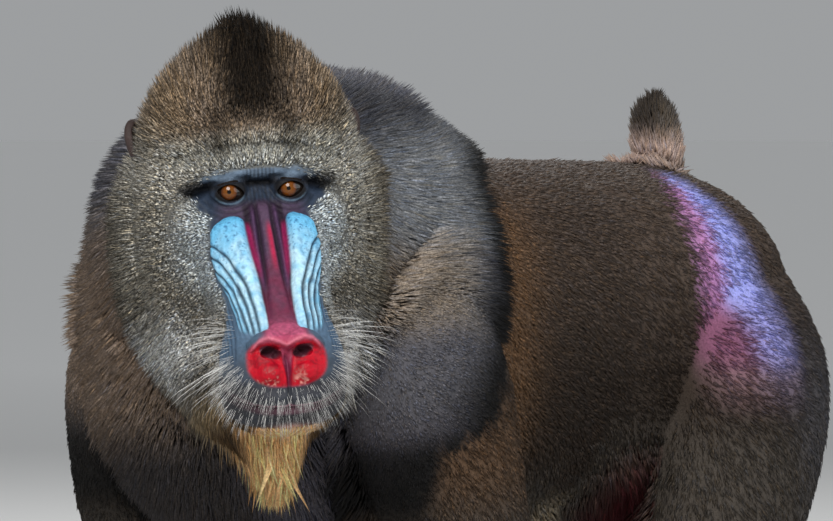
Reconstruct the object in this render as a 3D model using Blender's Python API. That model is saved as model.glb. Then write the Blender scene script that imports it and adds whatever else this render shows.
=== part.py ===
"""Adult male mandrill standing on all fours with its head turned to its left, life size.

Metres, +Z up, the body facing -Y, so the animal's left is +X. The trunk, neck and limbs are
fused into one form, the face is built up on the head, the long coat is fused on as tapered
locks, and thin cuts part the whole into head, neck, trunk, limbs and tail.
"""

import math
import random

import bmesh
import bpy
import numpy as np
from mathutils import Matrix, Vector
from mathutils.bvhtree import BVHTree

GAP = 0.0003
CENTRE = Vector((0.0055, -0.0559, 0.0))

# How far the core under the long coat reaches from the skin towards the tips.
COAT_FILL = 0.5

# One lock from root to tip: share of its length, of its width, and of its rise off the core.
LOCK_SINK = 0.008
LOCK_RINGS = ((-0.07, 0.70, -1.0), (0.24, 1.0, 0.60), (0.64, 0.76, 1.0))
LOCK_RIDGE = 0.28
LOCK_SHORTENING = (1.0, 0.86, 0.72, 0.58)

# Rings of locks round the head: how far each lies in front of the widest part, how many locks,
# and their length, width and rise.
RUFF_CENTRE = (0.0, 0.060, -0.045)
RUFF = (
    (math.radians(26), 13, 0.054, 0.039, 0.010),
    (math.radians(0), 13, 0.056, 0.045, 0.016),
    (math.radians(-24), 11, 0.046, 0.048, 0.016),
)
# Tufts gathered to a peak: side and depth of each root, the peak, and how far the sides keep
# apart there.
CREST = {
    "roots": (
        (0.000, 0.030), (0.020, 0.036), (-0.020, 0.036), (0.038, 0.052), (-0.038, 0.052),
        (0.010, 0.064), (0.028, 0.080), (-0.024, 0.080),
    ),
    "peak": (0.0, 0.058, 0.150), "apart": 0.35, "length": 0.056, "width": 0.042,
}
BEARD = {
    "roots": ((0.000, -0.006), (0.016, 0.004), (-0.016, 0.004), (0.030, 0.022), (-0.030, 0.022)),
    "peak": (0.0, -0.045, -0.250), "apart": 0.25, "length": 0.062, "width": 0.034,
}
# Locks that hang over the front and outer side of each shoulder: height, angle from the front
# outwards, length.
SHOULDER = (
    (0.520, 15, 0.100), (0.515, 50, 0.100), (0.505, 88, 0.095),
    (0.465, 0, 0.090), (0.460, 34, 0.090), (0.455, 70, 0.088), (0.450, 108, 0.080),
)
# Rings of locks round the neck and shoulders, from the head back: the ring's middle, how far
# round from the top it reaches, how many locks it has and how long they are.
CAPE = (
    ((0.046, -0.318, 0.528), 180, 12, 0.085),
    ((0.026, -0.272, 0.520), 165, 12, 0.105),
    ((0.008, -0.222, 0.508), 130, 12, 0.115),
    ((0.000, -0.165, 0.495), 108, 10, 0.120),
    ((0.000, -0.100, 0.485), 66, 7, 0.120),
)
CAPE_WIDTH = 0.060
CAPE_RISE = 0.023
CAPE_LOWEST = 0.400
# Rings of the tail's tuft: height, number of locks, their length, share of a step turned.
TAIL_TUFT = ((0.612, 4, 0.052, 0.0), (0.636, 3, 0.042, 0.5))

# Point midway between the eyes, and how the head is turned and tilted from facing -Y.
EYES = Vector((0.140, -0.410, 0.590))
HEAD_YAW = math.radians(45.5)
HEAD_ROLL = math.radians(-3.5)
HEAD = (
    Matrix.Translation(EYES)
    @ Matrix.Rotation(HEAD_YAW, 4, "Z")
    @ Matrix.Rotation(HEAD_ROLL, 4, "Y")
)

# The snout slopes forward and down from between the eyes.
SNOUT_SLOPE = math.radians(45.5)
SNOUT_ALONG = Vector((0.0, -math.cos(SNOUT_SLOPE), -math.sin(SNOUT_SLOPE)))
SNOUT_UP = Vector((0.0, -math.sin(SNOUT_SLOPE), math.cos(SNOUT_SLOPE)))
SNOUT_AXIS_DEPTH = 0.045
MOUTH_DEPTH = 0.043

EYE_RADIUS = 0.0115
EYE_SPACING = 0.041
EYE_INSET = 0.0085

# Rows of a form: x, y, z of its centre line, half width, reach to the hint side, reach away,
# all out to the tips of the coat, and how deep the long coat is there.
TRUNK = (
    (0.000, 0.372, 0.505, 0.030, 0.030, 0.035, 0.000),
    (0.000, 0.345, 0.500, 0.085, 0.068, 0.090, 0.000),
    (0.000, 0.275, 0.488, 0.126, 0.107, 0.145, 0.000),
    (0.000, 0.160, 0.480, 0.122, 0.122, 0.158, 0.000),
    (0.000, 0.030, 0.480, 0.124, 0.129, 0.168, 0.010),
    (0.000, -0.090, 0.485, 0.144, 0.186, 0.182, 0.040),
    (0.004, -0.190, 0.490, 0.158, 0.176, 0.186, 0.046),
    (0.020, -0.270, 0.495, 0.142, 0.160, 0.172, 0.048),
    (0.040, -0.322, 0.500, 0.084, 0.112, 0.112, 0.044),
)
NECK = (
    (0.000, -0.120, 0.515, 0.112, 0.120, 0.110, 0.040),
    (0.004, -0.200, 0.530, 0.140, 0.134, 0.135, 0.048),
    (0.030, -0.285, 0.555, 0.136, 0.118, 0.150, 0.050),
    (0.066, -0.330, 0.572, 0.108, 0.092, 0.142, 0.046),
    (0.095, -0.362, 0.580, 0.076, 0.066, 0.105, 0.030),
)
ARM = (
    (0.095, -0.200, 0.535, 0.040, 0.062, 0.062, 0.000),
    (0.126, -0.208, 0.455, 0.060, 0.084, 0.072, 0.000),
    (0.140, -0.196, 0.375, 0.055, 0.068, 0.068, 0.000),
    (0.142, -0.172, 0.300, 0.045, 0.052, 0.056, 0.000),
    (0.140, -0.180, 0.220, 0.040, 0.046, 0.046, 0.000),
    (0.136, -0.196, 0.140, 0.031, 0.036, 0.035, 0.000),
    (0.134, -0.212, 0.082, 0.024, 0.026, 0.026, 0.000),
    (0.134, -0.228, 0.045, 0.027, 0.020, 0.020, 0.000),
)
LEG = (
    (0.062, 0.268, 0.510, 0.050, 0.080, 0.080, 0.000),
    (0.092, 0.255, 0.435, 0.070, 0.100, 0.100, 0.000),
    (0.112, 0.228, 0.362, 0.064, 0.084, 0.088, 0.000),
    (0.124, 0.190, 0.296, 0.053, 0.062, 0.066, 0.000),
    (0.125, 0.206, 0.235, 0.044, 0.049, 0.052, 0.000),
    (0.121, 0.252, 0.165, 0.033, 0.037, 0.038, 0.000),
    (0.118, 0.296, 0.105, 0.026, 0.028, 0.028, 0.000),
    (0.117, 0.316, 0.055, 0.025, 0.026, 0.024, 0.000),
)
TAIL = (
    (0.000, 0.288, 0.550, 0.032, 0.032, 0.032, 0.000),
    (0.000, 0.292, 0.600, 0.028, 0.028, 0.028, 0.010),
    (0.000, 0.294, 0.636, 0.024, 0.022, 0.022, 0.014),
    (0.000, 0.293, 0.660, 0.013, 0.012, 0.012, 0.008),
    (0.000, 0.292, 0.672, 0.004, 0.004, 0.004, 0.002),
)
# Rows of the head behind the face, from crown to beard: depth behind the eyes, height over
# them, half width, reach forward, reach back. Each is given at the skin and at the coat's tips.
HEAD_ROWS = (
    ((0.060, 0.048, 0.006, 0.006, 0.006), (0.052, 0.126, 0.006, 0.006, 0.006)),
    ((0.060, 0.042, 0.030, 0.028, 0.032), (0.052, 0.110, 0.025, 0.020, 0.026)),
    ((0.062, 0.028, 0.048, 0.045, 0.046), (0.054, 0.083, 0.050, 0.034, 0.044)),
    ((0.062, 0.008, 0.058, 0.052, 0.052), (0.060, 0.050, 0.072, 0.044, 0.060)),
    ((0.060, -0.015, 0.062, 0.052, 0.054), (0.064, 0.010, 0.086, 0.046, 0.064)),
    ((0.055, -0.045, 0.062, 0.050, 0.052), (0.064, -0.045, 0.092, 0.046, 0.066)),
    ((0.050, -0.080, 0.055, 0.052, 0.050), (0.060, -0.097, 0.084, 0.050, 0.066)),
    ((0.045, -0.110, 0.044, 0.050, 0.046), (0.040, -0.140, 0.064, 0.052, 0.062)),
    ((0.040, -0.130, 0.030, 0.036, 0.036), (0.010, -0.175, 0.042, 0.046, 0.046)),
    ((0.038, -0.142, 0.014, 0.018, 0.018), (-0.020, -0.203, 0.024, 0.026, 0.026)),
    ((0.036, -0.147, 0.005, 0.006, 0.006), (-0.040, -0.222, 0.004, 0.004, 0.004)),
)
# How far each stride puts a hand or foot ahead of its resting place.
STRIDE = {"arm_left": -0.004, "arm_right": -0.030, "leg_left": -0.012, "leg_right": 0.022}

# Rows of the snout: distance along it from between the eyes, half width, top, bottom.
SNOUT = (
    (-0.030, 0.050, 0.044, 0.052),
    (0.000, 0.048, 0.042, 0.055),
    (0.035, 0.042, 0.040, 0.053),
    (0.070, 0.039, 0.039, 0.047),
    (0.105, 0.041, 0.038, 0.041),
    (0.130, 0.043, 0.036, 0.037),
    (0.147, 0.040, 0.030, 0.033),
    (0.157, 0.030, 0.020, 0.025),
    (0.162, 0.014, 0.010, 0.012),
)
RIDGE_LOBES = 10
LID_STEPS = 14
EAR_CLEARANCE = 0.034

COAT = random.Random(7)


def clear_scene():
    for obj in list(bpy.data.objects):
        bpy.data.objects.remove(obj, do_unlink=True)


def material(name, colour, roughness):
    made = bpy.data.materials.new(name)
    made.use_nodes = True
    shader = made.node_tree.nodes["Principled BSDF"]
    shader.inputs["Base Color"].default_value = (*colour, 1.0)
    shader.inputs["Roughness"].default_value = roughness
    shader.inputs["Metallic"].default_value = 0.0
    return made


def object_from(name, bm):
    bmesh.ops.recalc_face_normals(bm, faces=bm.faces)
    mesh = bpy.data.meshes.new(name)
    bm.to_mesh(mesh)
    bm.free()
    obj = bpy.data.objects.new(name, mesh)
    bpy.context.scene.collection.objects.link(obj)
    return obj


def smooth_rows(rows, count):
    """Rows read evenly from a smooth curve through the driving rows."""
    rows = np.array(rows, float)
    ends = np.vstack([2 * rows[0] - rows[1], rows, 2 * rows[-1] - rows[-2]])
    found = []
    for t in np.linspace(0, len(rows) - 1, count):
        i = min(int(t), len(rows) - 2)
        f = t - i
        a, b, c, d = ends[i : i + 4]
        found.append(
            0.5 * (2 * b + (c - a) * f + (2 * a - 5 * b + 4 * c - d) * f**2 + (3 * b - a - 3 * c + d) * f**3)
        )
    return np.array(found)


def signed_power(value, power):
    return math.copysign(abs(value) ** power, value)


def at_core(rows):
    """Rows drawn in from the coat's tips to the core that carries its locks."""
    rows = np.array(rows, float)
    rows[:, 3:6] -= rows[:, 6:7] * (1 - COAT_FILL)
    return rows[:, :6]


def join_loops(bm, loops):
    for near, far in zip(loops, loops[1:]):
        for k in range(len(near)):
            m = (k + 1) % len(near)
            bm.faces.new((near[k], near[m], far[m], far[k]))


def tube(name, rows, rings, segments, hint, squareness=2.0, lobes=0, lobe_depth=0.0):
    """A closed form swept along rows, with oval sections that may be square or lobed."""
    rows = smooth_rows(rows, rings)
    centres = [Vector(row[:3]) for row in rows]
    bm = bmesh.new()
    loops = []
    for i, row in enumerate(rows):
        along = centres[min(i + 1, rings - 1)] - centres[max(i - 1, 0)]
        side = along.cross(Vector(hint)).normalized()
        up = side.cross(along).normalized()
        loop = []
        for k in range(segments):
            angle = 2 * math.pi * k / segments
            across = signed_power(math.cos(angle), 2 / squareness)
            rise = signed_power(math.sin(angle), 2 / squareness)
            swell = 1 - lobe_depth * (0.5 + 0.5 * math.cos(lobes * angle)) if lobes else 1
            reach = row[4] if rise > 0 else row[5]
            loop.append(bm.verts.new(centres[i] + (side * across * row[3] + up * rise * reach) * swell))
        loops.append(loop)
    join_loops(bm, loops)
    bm.faces.new(loops[0])
    bm.faces.new(loops[-1])
    return object_from(name, bm)


def ring(name, points, radius, segments, hint):
    """A round bead that closes on itself through the points."""
    bm = bmesh.new()
    loops = []
    for k, point in enumerate(points):
        along = points[(k + 1) % len(points)] - points[k - 1]
        side = along.cross(Vector(hint)).normalized()
        up = side.cross(along).normalized()
        turns = [2 * math.pi * m / segments for m in range(segments)]
        spokes = [side * math.cos(turn) + up * math.sin(turn) for turn in turns]
        loops.append([bm.verts.new(point + spoke * radius) for spoke in spokes])
    join_loops(bm, loops + loops[:1])
    return object_from(name, bm)


def ball(name, centre, radii, detail=2, turn=None):
    bm = bmesh.new()
    bmesh.ops.create_icosphere(bm, subdivisions=detail, radius=1.0)
    shape = Matrix.Diagonal((*radii, 1.0))
    place = Matrix.Translation(Vector(centre)) @ (turn or Matrix.Identity(4)) @ shape
    bmesh.ops.transform(bm, matrix=place, verts=bm.verts)
    return object_from(name, bm)


def evaluated(obj):
    """Applies an object's modifiers to its mesh."""
    graph = bpy.context.evaluated_depsgraph_get()
    mesh = bpy.data.meshes.new_from_object(obj.evaluated_get(graph))
    obj.modifiers.clear()
    obj.data = mesh
    return obj


def discard(objects):
    for obj in objects:
        bpy.data.objects.remove(obj, do_unlink=True)


def combine(obj, others, operation):
    """One Boolean of an object with a collection of closed helpers, which are then removed."""
    helpers = bpy.data.collections.new(obj.name + "_helpers")
    bpy.context.scene.collection.children.link(helpers)
    for other in others:
        bpy.context.scene.collection.objects.unlink(other)
        helpers.objects.link(other)
    step = obj.modifiers.new("combine", "BOOLEAN")
    step.operand_type = "COLLECTION"
    step.collection = helpers
    step.operation = operation
    step.solver = "MANIFOLD"
    evaluated(obj)
    discard(list(helpers.objects))
    bpy.data.collections.remove(helpers)
    return obj


def copy_of(obj, name):
    made = bpy.data.objects.new(name, obj.data.copy())
    bpy.context.scene.collection.objects.link(made)
    return made


def grown(obj, name, distance):
    """A copy whose surface lies a short distance outside the object's."""
    made = copy_of(obj, name)
    normals = [vertex.normal.copy() for vertex in made.data.vertices]
    for vertex, normal in zip(made.data.vertices, normals):
        vertex.co += normal * distance
    return made


def fuse(parts, voxel, passes, triangles):
    """Forms run together into one smooth skin of about so many triangles."""
    bm = bmesh.new()
    for part in parts:
        bm.from_mesh(part.data)
    obj = object_from("fused", bm)
    discard(parts)
    remesh = obj.modifiers.new("remesh", "REMESH")
    remesh.mode = "VOXEL"
    remesh.voxel_size = voxel
    soften = obj.modifiers.new("soften", "SMOOTH")
    soften.factor = 0.5
    soften.iterations = passes
    evaluated(obj)
    thin = obj.modifiers.new("thin", "DECIMATE")
    thin.ratio = triangles / (2 * len(obj.data.polygons))
    thin.use_collapse_triangulate = True
    return evaluated(obj)


def keep_largest(obj):
    """Leaves only the largest closed surface of a node."""
    bm = bmesh.new()
    bm.from_mesh(obj.data)
    left = set(bm.verts)
    groups = []
    while left:
        start = left.pop()
        group = {start}
        edge = [start]
        while edge:
            vertex = edge.pop()
            for link in vertex.link_edges:
                other = link.other_vert(vertex)
                if other in left:
                    left.discard(other)
                    group.add(other)
                    edge.append(other)
        groups.append(group)
    sizes = []
    for group in groups:
        low = [min(v.co[i] for v in group) for i in range(3)]
        high = [max(v.co[i] for v in group) for i in range(3)]
        sizes.append(math.dist(low, high))
    keep = groups[sizes.index(max(sizes))]
    bmesh.ops.delete(bm, geom=[v for v in bm.verts if v not in keep], context="VERTS")
    bmesh.ops.triangulate(bm, faces=bm.faces)
    bm.to_mesh(obj.data)
    bm.free()
    return obj


def cell(planes, shift):
    """The convex block on the inner side of each plane, its planes moved outwards by shift."""
    bm = bmesh.new()
    bmesh.ops.create_cube(bm, size=4.0)
    for point, normal in planes:
        outward = Vector(normal).normalized()
        cut = bmesh.ops.bisect_plane(
            bm,
            geom=bm.verts[:] + bm.edges[:] + bm.faces[:],
            plane_co=Vector(point) + outward * shift,
            plane_no=outward,
            clear_outer=True,
        )
        rim = [item for item in cut["geom_cut"] if isinstance(item, bmesh.types.BMEdge)]
        bmesh.ops.contextual_create(bm, geom=rim)
    bmesh.ops.triangulate(bm, faces=bm.faces)
    return object_from("cell", bm)


def part_off(whole, name, planes):
    """Cuts a node off the whole, with a thin gap left between them."""
    node = copy_of(whole, name)
    combine(node, [cell(planes, -GAP / 2)], "INTERSECT")
    combine(whole, [cell(planes, GAP / 2)], "DIFFERENCE")
    return keep_largest(node)


def on_head(x, y, z):
    return HEAD @ Vector((x, y, z))


def head_direction(x, y, z):
    return (HEAD.to_3x3() @ Vector((x, y, z))).normalized()


def on_snout(along, up, across):
    """A point given by its distance down the snout, above its line and to the left."""
    local = SNOUT_ALONG * along + SNOUT_UP * up
    local.x = across
    return HEAD @ local


def limb(name, rows, side, stride):
    """A limb whose lower end is carried forward by its stride."""
    top, foot = rows[0][2], rows[-1][2]
    placed = []
    for x, y, z, width, front, back in at_core(rows):
        share = (top - z) / (top - foot)
        placed.append((side * x, y + stride * share, z, width, front, back))
    return tube(name, placed, 13, 12, (0, -1, 0))


def digit(name, points, radius):
    """A finger or toe that narrows to its tip."""
    taper = (1.0, 1.04, 0.92, 0.86, 0.55)
    rows = [(*p, radius * t, radius * t, radius * t) for p, t in zip(points, taper)]
    return tube(name, rows, 5, 6, (0, 0, 1))


def hand(side, stride):
    """Palm raised, four fingers laid forward and the short thumb inside."""
    x0, y0 = side * 0.134, -0.226 + stride
    palm_rows = (
        (x0, y0 + 0.012, 0.072, 0.022, 0.017, 0.017),
        (x0, y0 - 0.006, 0.050, 0.029, 0.015, 0.016),
        (x0, y0 - 0.030, 0.030, 0.036, 0.013, 0.014),
        (x0, y0 - 0.045, 0.020, 0.034, 0.011, 0.012),
    )
    pieces = [tube("palm", palm_rows, 5, 10, (0, -1, 0.4))]
    for k, reach in enumerate((0.052, 0.064, 0.066, 0.056)):
        spread = side * (-0.026 + 0.0175 * k)
        x = x0 - spread
        lean = -spread * 0.25
        points = (
            (x, y0 - 0.026, 0.032),
            (x + lean * 0.3, y0 - 0.046, 0.020),
            (x + lean * 0.7, y0 - 0.046 - reach * 0.40, 0.0070),
            (x + lean, y0 - 0.046 - reach * 0.75, 0.0048),
            (x + lean, y0 - 0.046 - reach, 0.0036),
        )
        pieces.append(digit("finger", points, 0.0088))
    thumb = (
        (x0 - side * 0.024, y0 - 0.004, 0.038),
        (x0 - side * 0.034, y0 - 0.012, 0.025),
        (x0 - side * 0.040, y0 - 0.022, 0.013),
        (x0 - side * 0.043, y0 - 0.034, 0.0075),
        (x0 - side * 0.044, y0 - 0.042, 0.0060),
    )
    pieces.append(digit("thumb", thumb, 0.0080))
    return pieces


def foot(side, stride):
    """Flat sole from heel to toes, with the great toe turned inwards."""
    x0, y0 = side * 0.117, 0.330 + stride
    sole_rows = (
        (x0, y0 + 0.012, 0.026, 0.010, 0.010, 0.014),
        (x0, y0, 0.030, 0.023, 0.024, 0.032),
        (x0, y0 - 0.035, 0.034, 0.024, 0.030, 0.035),
        (x0, y0 - 0.080, 0.026, 0.029, 0.022, 0.028),
        (x0, y0 - 0.115, 0.020, 0.036, 0.015, 0.022),
        (x0, y0 - 0.128, 0.016, 0.034, 0.010, 0.016),
    )
    pieces = [tube("sole", sole_rows, 7, 10, (0, 0, 1))]
    for k, reach in enumerate((0.056, 0.060, 0.055, 0.046)):
        spread = side * (-0.022 + 0.0175 * k)
        x = x0 + spread
        lean = spread * 0.2
        points = (
            (x, y0 - 0.108, 0.020),
            (x + lean * 0.3, y0 - 0.122, 0.018),
            (x + lean * 0.7, y0 - 0.122 - reach * 0.42, 0.0110),
            (x + lean, y0 - 0.122 - reach * 0.76, 0.0075),
            (x + lean, y0 - 0.122 - reach, 0.0060),
        )
        pieces.append(digit("toe", points, 0.0088))
    great_toe = (
        (x0 - side * 0.020, y0 - 0.062, 0.022),
        (x0 - side * 0.034, y0 - 0.078, 0.018),
        (x0 - side * 0.045, y0 - 0.096, 0.0120),
        (x0 - side * 0.051, y0 - 0.114, 0.0085),
        (x0 - side * 0.053, y0 - 0.124, 0.0070),
    )
    pieces.append(digit("great_toe", great_toe, 0.0105))
    return pieces


def snout_rows(rows):
    placed = []
    for along, half_width, top, bottom in rows:
        placed.append((*on_snout(along, -SNOUT_AXIS_DEPTH, 0), half_width, top, bottom))
    return placed


def mouth_line(outset, lift):
    """Points round the front of the snout from one corner of the mouth to the other."""
    reach, half_width, corner = 0.161 + outset, 0.0415 + outset, 0.088
    points = []
    for k in range(13):
        angle = math.pi * (k / 12 - 0.5)
        bend = signed_power(math.cos(angle), 0.55)
        across = half_width * signed_power(math.sin(angle), 0.6)
        along = corner + (reach - corner) * bend
        points.append(on_snout(along, -MOUTH_DEPTH + lift, across))
    return points


def lip(name, lift, radius):
    rows = []
    points = mouth_line(-0.0035, lift)
    for k, point in enumerate(points):
        thickness = radius * (0.55 + 0.45 * math.sin(math.pi * k / (len(points) - 1)))
        rows.append((*point, thickness * 1.1, thickness, thickness))
    return tube(name, rows, 15, 6, HEAD.to_3x3() @ SNOUT_UP)


def mouth_cut():
    """A thin curved slot a few millimetres deep along the mouth line."""
    bm = bmesh.new()
    outer, inner = mouth_line(0.010, 0), mouth_line(-0.0065, 0)
    half = HEAD.to_3x3() @ SNOUT_UP * 0.0009
    loops = []
    for out, deep in zip(outer, inner):
        corners = (out + half * 1.8, deep + half, deep - half, out - half * 1.8)
        loops.append([bm.verts.new(c) for c in corners])
    for near, far in zip(loops, loops[1:]):
        for k in range(4):
            m = (k + 1) % 4
            bm.faces.new((near[k], near[m], far[m], far[k]))
    bm.faces.new(loops[0])
    bm.faces.new(loops[-1])
    return object_from("mouth_cut", bm)


def lids(side):
    """The rim of both lids round one eye, as a ring that lies on the eyeball."""
    centre = (side * EYE_SPACING / 2, EYE_INSET)
    points = []
    for k in range(LID_STEPS):
        angle = 2 * math.pi * k / LID_STEPS
        across = 0.0122 * math.cos(angle)
        rise = (0.0066 if math.sin(angle) > 0 else 0.0074) * math.sin(angle)
        shell = EYE_RADIUS + 0.0012
        front = math.sqrt(max(shell**2 - across**2 - rise**2, 1e-6))
        points.append(on_head(centre[0] + across, centre[1] - front + 0.0006, rise))
    return ring("lids", points, 0.0023, 5, head_direction(0, -1, 0))


def face_forms():
    """Closed forms of the bare face, which are fused onto the head."""
    up = HEAD.to_3x3() @ SNOUT_UP
    forms = [tube("snout", snout_rows(SNOUT), 12, 20, up, squareness=2.7)]
    bridge = (
        (-0.004, 0.0085, -0.012),
        (0.020, 0.0082, -0.0125),
        (0.070, 0.0082, -0.0130),
        (0.115, 0.0090, -0.0125),
        (0.134, 0.0120, -0.0120),
    )
    rows = [(*on_snout(a, u, 0), w, 0.0125, 0.010) for a, w, u in bridge]
    forms.append(tube("bridge", rows, 8, 10, up))
    ridge = (
        (0.020, 0.0245, 0.0060, 0.0080),
        (0.026, 0.0245, 0.0125, 0.0150),
        (0.045, 0.0240, 0.0135, 0.0165),
        (0.085, 0.0222, 0.0125, 0.0150),
        (0.115, 0.0205, 0.0115, 0.0130),
        (0.132, 0.0200, 0.0085, 0.0090),
    )
    for side in (1, -1):
        rows = [(*on_snout(a, -0.0155, side * x), w, h, 0.012) for a, x, w, h in ridge]
        forms.append(
            tube("ridge", rows, 7, 2 * RIDGE_LOBES, up, lobes=RIDGE_LOBES, lobe_depth=0.13)
        )
    brow = [
        (*on_head(x, 0.010 + 4.5 * x * x, 0.0170 - 2.2 * x * x), 0.0145, 0.0105, 0.0105)
        for x in (-0.050, -0.036, -0.018, 0.0, 0.018, 0.036, 0.050)
    ]
    forms.append(tube("brow", brow, 9, 9, head_direction(0, 0, 1)))
    for side in (1, -1):
        forms.append(ball("cheekbone", on_head(side * 0.040, 0.024, -0.022), (0.020, 0.021, 0.022)))
        forms.append(ball("nose_wing", on_head(side * 0.0130, -0.0775, -0.1150), (0.0145, 0.0145, 0.0175)))
        forms.append(lids(side))
    forms.append(ball("nose_top", on_head(0, -0.083, -0.1035), (0.0160, 0.0115, 0.0095)))
    forms.append(lip("upper_lip", 0.0062, 0.0062))
    forms.append(lip("lower_lip", -0.0058, 0.0058))
    forms.append(ball("chin", on_snout(0.135, -0.062, 0), (0.026, 0.026, 0.024)))
    return forms


def face_cuts():
    """Forms taken out of the head: nostrils, the mouth line, and room for the eyes."""
    cuts = []
    for side in (1, -1):
        slant = Matrix.Rotation(side * math.radians(24), 4, "Y")
        turn = HEAD.to_3x3().to_4x4() @ slant
        cuts.append(ball("nostril", on_head(side * 0.0105, -0.0925, -0.1055), (0.0052, 0.0115, 0.0034), turn=turn))
        room = EYE_RADIUS + GAP
        cuts.append(eyeball("eye_room", side, room))
    cuts.append(mouth_cut())
    return cuts


def eyeball(name, side, radius):
    bm = bmesh.new()
    bmesh.ops.create_uvsphere(bm, u_segments=14, v_segments=9, radius=radius)
    centre = on_head(side * EYE_SPACING / 2, EYE_INSET, 0)
    bmesh.ops.transform(bm, matrix=Matrix.Translation(centre), verts=bm.verts)
    return object_from(name, bm)


def head_form():
    """The head behind the face, from crown to beard, drawn in to the core of its coat."""
    rows = []
    for skin, tips in HEAD_ROWS:
        depth, height, width, forward, back = np.array(skin) + (np.array(tips) - np.array(skin)) * COAT_FILL
        rows.append((*on_head(0, depth, height), width, forward, back))
    return tube("head_form", rows, 22, 20, head_direction(0, -1, 0), squareness=2.3)


def ear_centre(side):
    return Vector((side * 0.081, 0.084, 0.034))


def ear(side):
    """A short upright ear with a hollow cup that faces forward and out."""
    lean = Matrix.Rotation(side * math.radians(24), 4, "Y") @ Matrix.Rotation(side * math.radians(-38), 4, "Z")
    turn = HEAD.to_3x3().to_4x4() @ lean
    centre = HEAD @ ear_centre(side)
    shell = ball("ear_left" if side > 0 else "ear_right", centre, (0.0155, 0.0070, 0.0260), 2, turn)
    front = centre + turn.to_3x3() @ Vector((0, -0.0075, 0.002))
    return combine(shell, [ball("cup", front, (0.0120, 0.0085, 0.0205), 2, turn)], "DIFFERENCE")


def lock_form(core, root, lie, length, width, rise, cling):
    """A flat tapered lock that leaves the core and bends along it as far as cling says."""
    root_normal = core.find_nearest(root)[1]
    places = []
    for share, breadth, height in LOCK_RINGS + ((1.0, 0.0, 0.92),):
        straight = root + lie * length * share
        spot, normal = core.find_nearest(straight)[:2]
        off = rise * height if height > 0 else -LOCK_SINK
        place = (straight + root_normal * off).lerp(spot + normal * off, cling)
        places.append((place, root_normal.lerp(normal, cling).normalized(), width * breadth / 2))
    bm = bmesh.new()
    loops = []
    for i, (place, normal, half) in enumerate(places[:-1]):
        along = places[i + 1][0] - places[max(i - 1, 0)][0]
        side = along.cross(normal).normalized()
        ridge = side.cross(along).normalized() * half * LOCK_RIDGE
        loops.append([bm.verts.new(corner) for corner in (place + side * half, place + ridge, place - side * half)])
    join_loops(bm, loops)
    bm.faces.new(loops[0])
    tip = bm.verts.new(places[-1][0])
    for k in range(3):
        bm.faces.new((loops[-1][k], loops[-1][(k + 1) % 3], tip))
    bmesh.ops.triangulate(bm, faces=bm.faces)
    return bm


def lock(core, root, lie, length, width, rise, cling=1.0):
    """A lock, made shorter where it would reach into another node, or none where it can't fit."""
    lie = Vector(lie).normalized()
    length *= COAT.uniform(0.88, 1.12)
    width *= COAT.uniform(0.90, 1.10)
    home = node_at(root)
    for shorter in LOCK_SHORTENING:
        bm = lock_form(core, root, lie, length * shorter, width * (0.4 + 0.6 * shorter), rise, cling)
        if all(node_at(vertex.co) == home for vertex in bm.verts):
            return [object_from("lock", bm)]
        bm.free()
    return []


def surface_towards(core, centre, direction):
    """The point where the core is first met on the way in to a centre."""
    return core.ray_cast(centre + direction * 0.3, -direction)[0]


def ruff_locks(core):
    """Crest, cheek ruff and beard: rings of locks that lead away from the face."""
    made = []
    centre = HEAD @ Vector(RUFF_CENTRE)
    for tier, (forward, count, length, width, rise) in enumerate(RUFF):
        for k in range(count):
            turn = 2 * math.pi * (k + 0.5 * (tier % 2)) / count + COAT.uniform(-0.06, 0.06)
            up, out = math.cos(turn), math.sin(turn)
            flat, ahead = math.cos(forward), math.sin(forward)
            root = surface_towards(core, centre, head_direction(out * flat, -ahead, up * flat))
            if min((root - HEAD @ ear_centre(side)).length for side in (1, -1)) < EAR_CLEARANCE:
                continue
            crest = min(max((up - 0.50) / 0.35, 0), 1)
            beard = min(max((-up - 0.45) / 0.35, 0), 1)
            cheek = 1 - crest - beard
            lie = (
                Vector((0.20 * out, 0.90, 0.70)) * crest
                + Vector((out, 0.80, -0.30)) * cheek
                + Vector((-0.20 * out, -0.15, -1)) * beard
            )
            reach = length * (1 - 0.15 * crest + 0.15 * beard)
            made += lock(core, root, head_direction(*lie), reach, width, rise, cling=0.5 * cheek + 0.8 * crest)
    return made


def gathered_locks(core, tuft, rise):
    """A tuft on the crown or under the jaw whose locks lean together."""
    made = []
    for out, depth in tuft["roots"]:
        root = core.ray_cast(on_head(out, depth, 0.35 * rise), head_direction(0, 0, -rise))[0]
        peak = Vector(tuft["peak"]) + Vector((out * tuft["apart"], 0, 0))
        made += lock(core, root, HEAD @ peak - root, tuft["length"], tuft["width"], 0.0, cling=0.0)
    return made


def shoulder_locks(core):
    made = []
    for side in (1, -1):
        for height, around, length in SHOULDER:
            turn = math.radians(around)
            outward = Vector((side * math.sin(turn), -math.cos(turn), 0))
            root = surface_towards(core, Vector((side * 0.115, -0.205, height)), outward)
            made += lock(core, root, (0.10 * side, 0.25, -1), length, CAPE_WIDTH * 0.9, 0.014)
    return made


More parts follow.
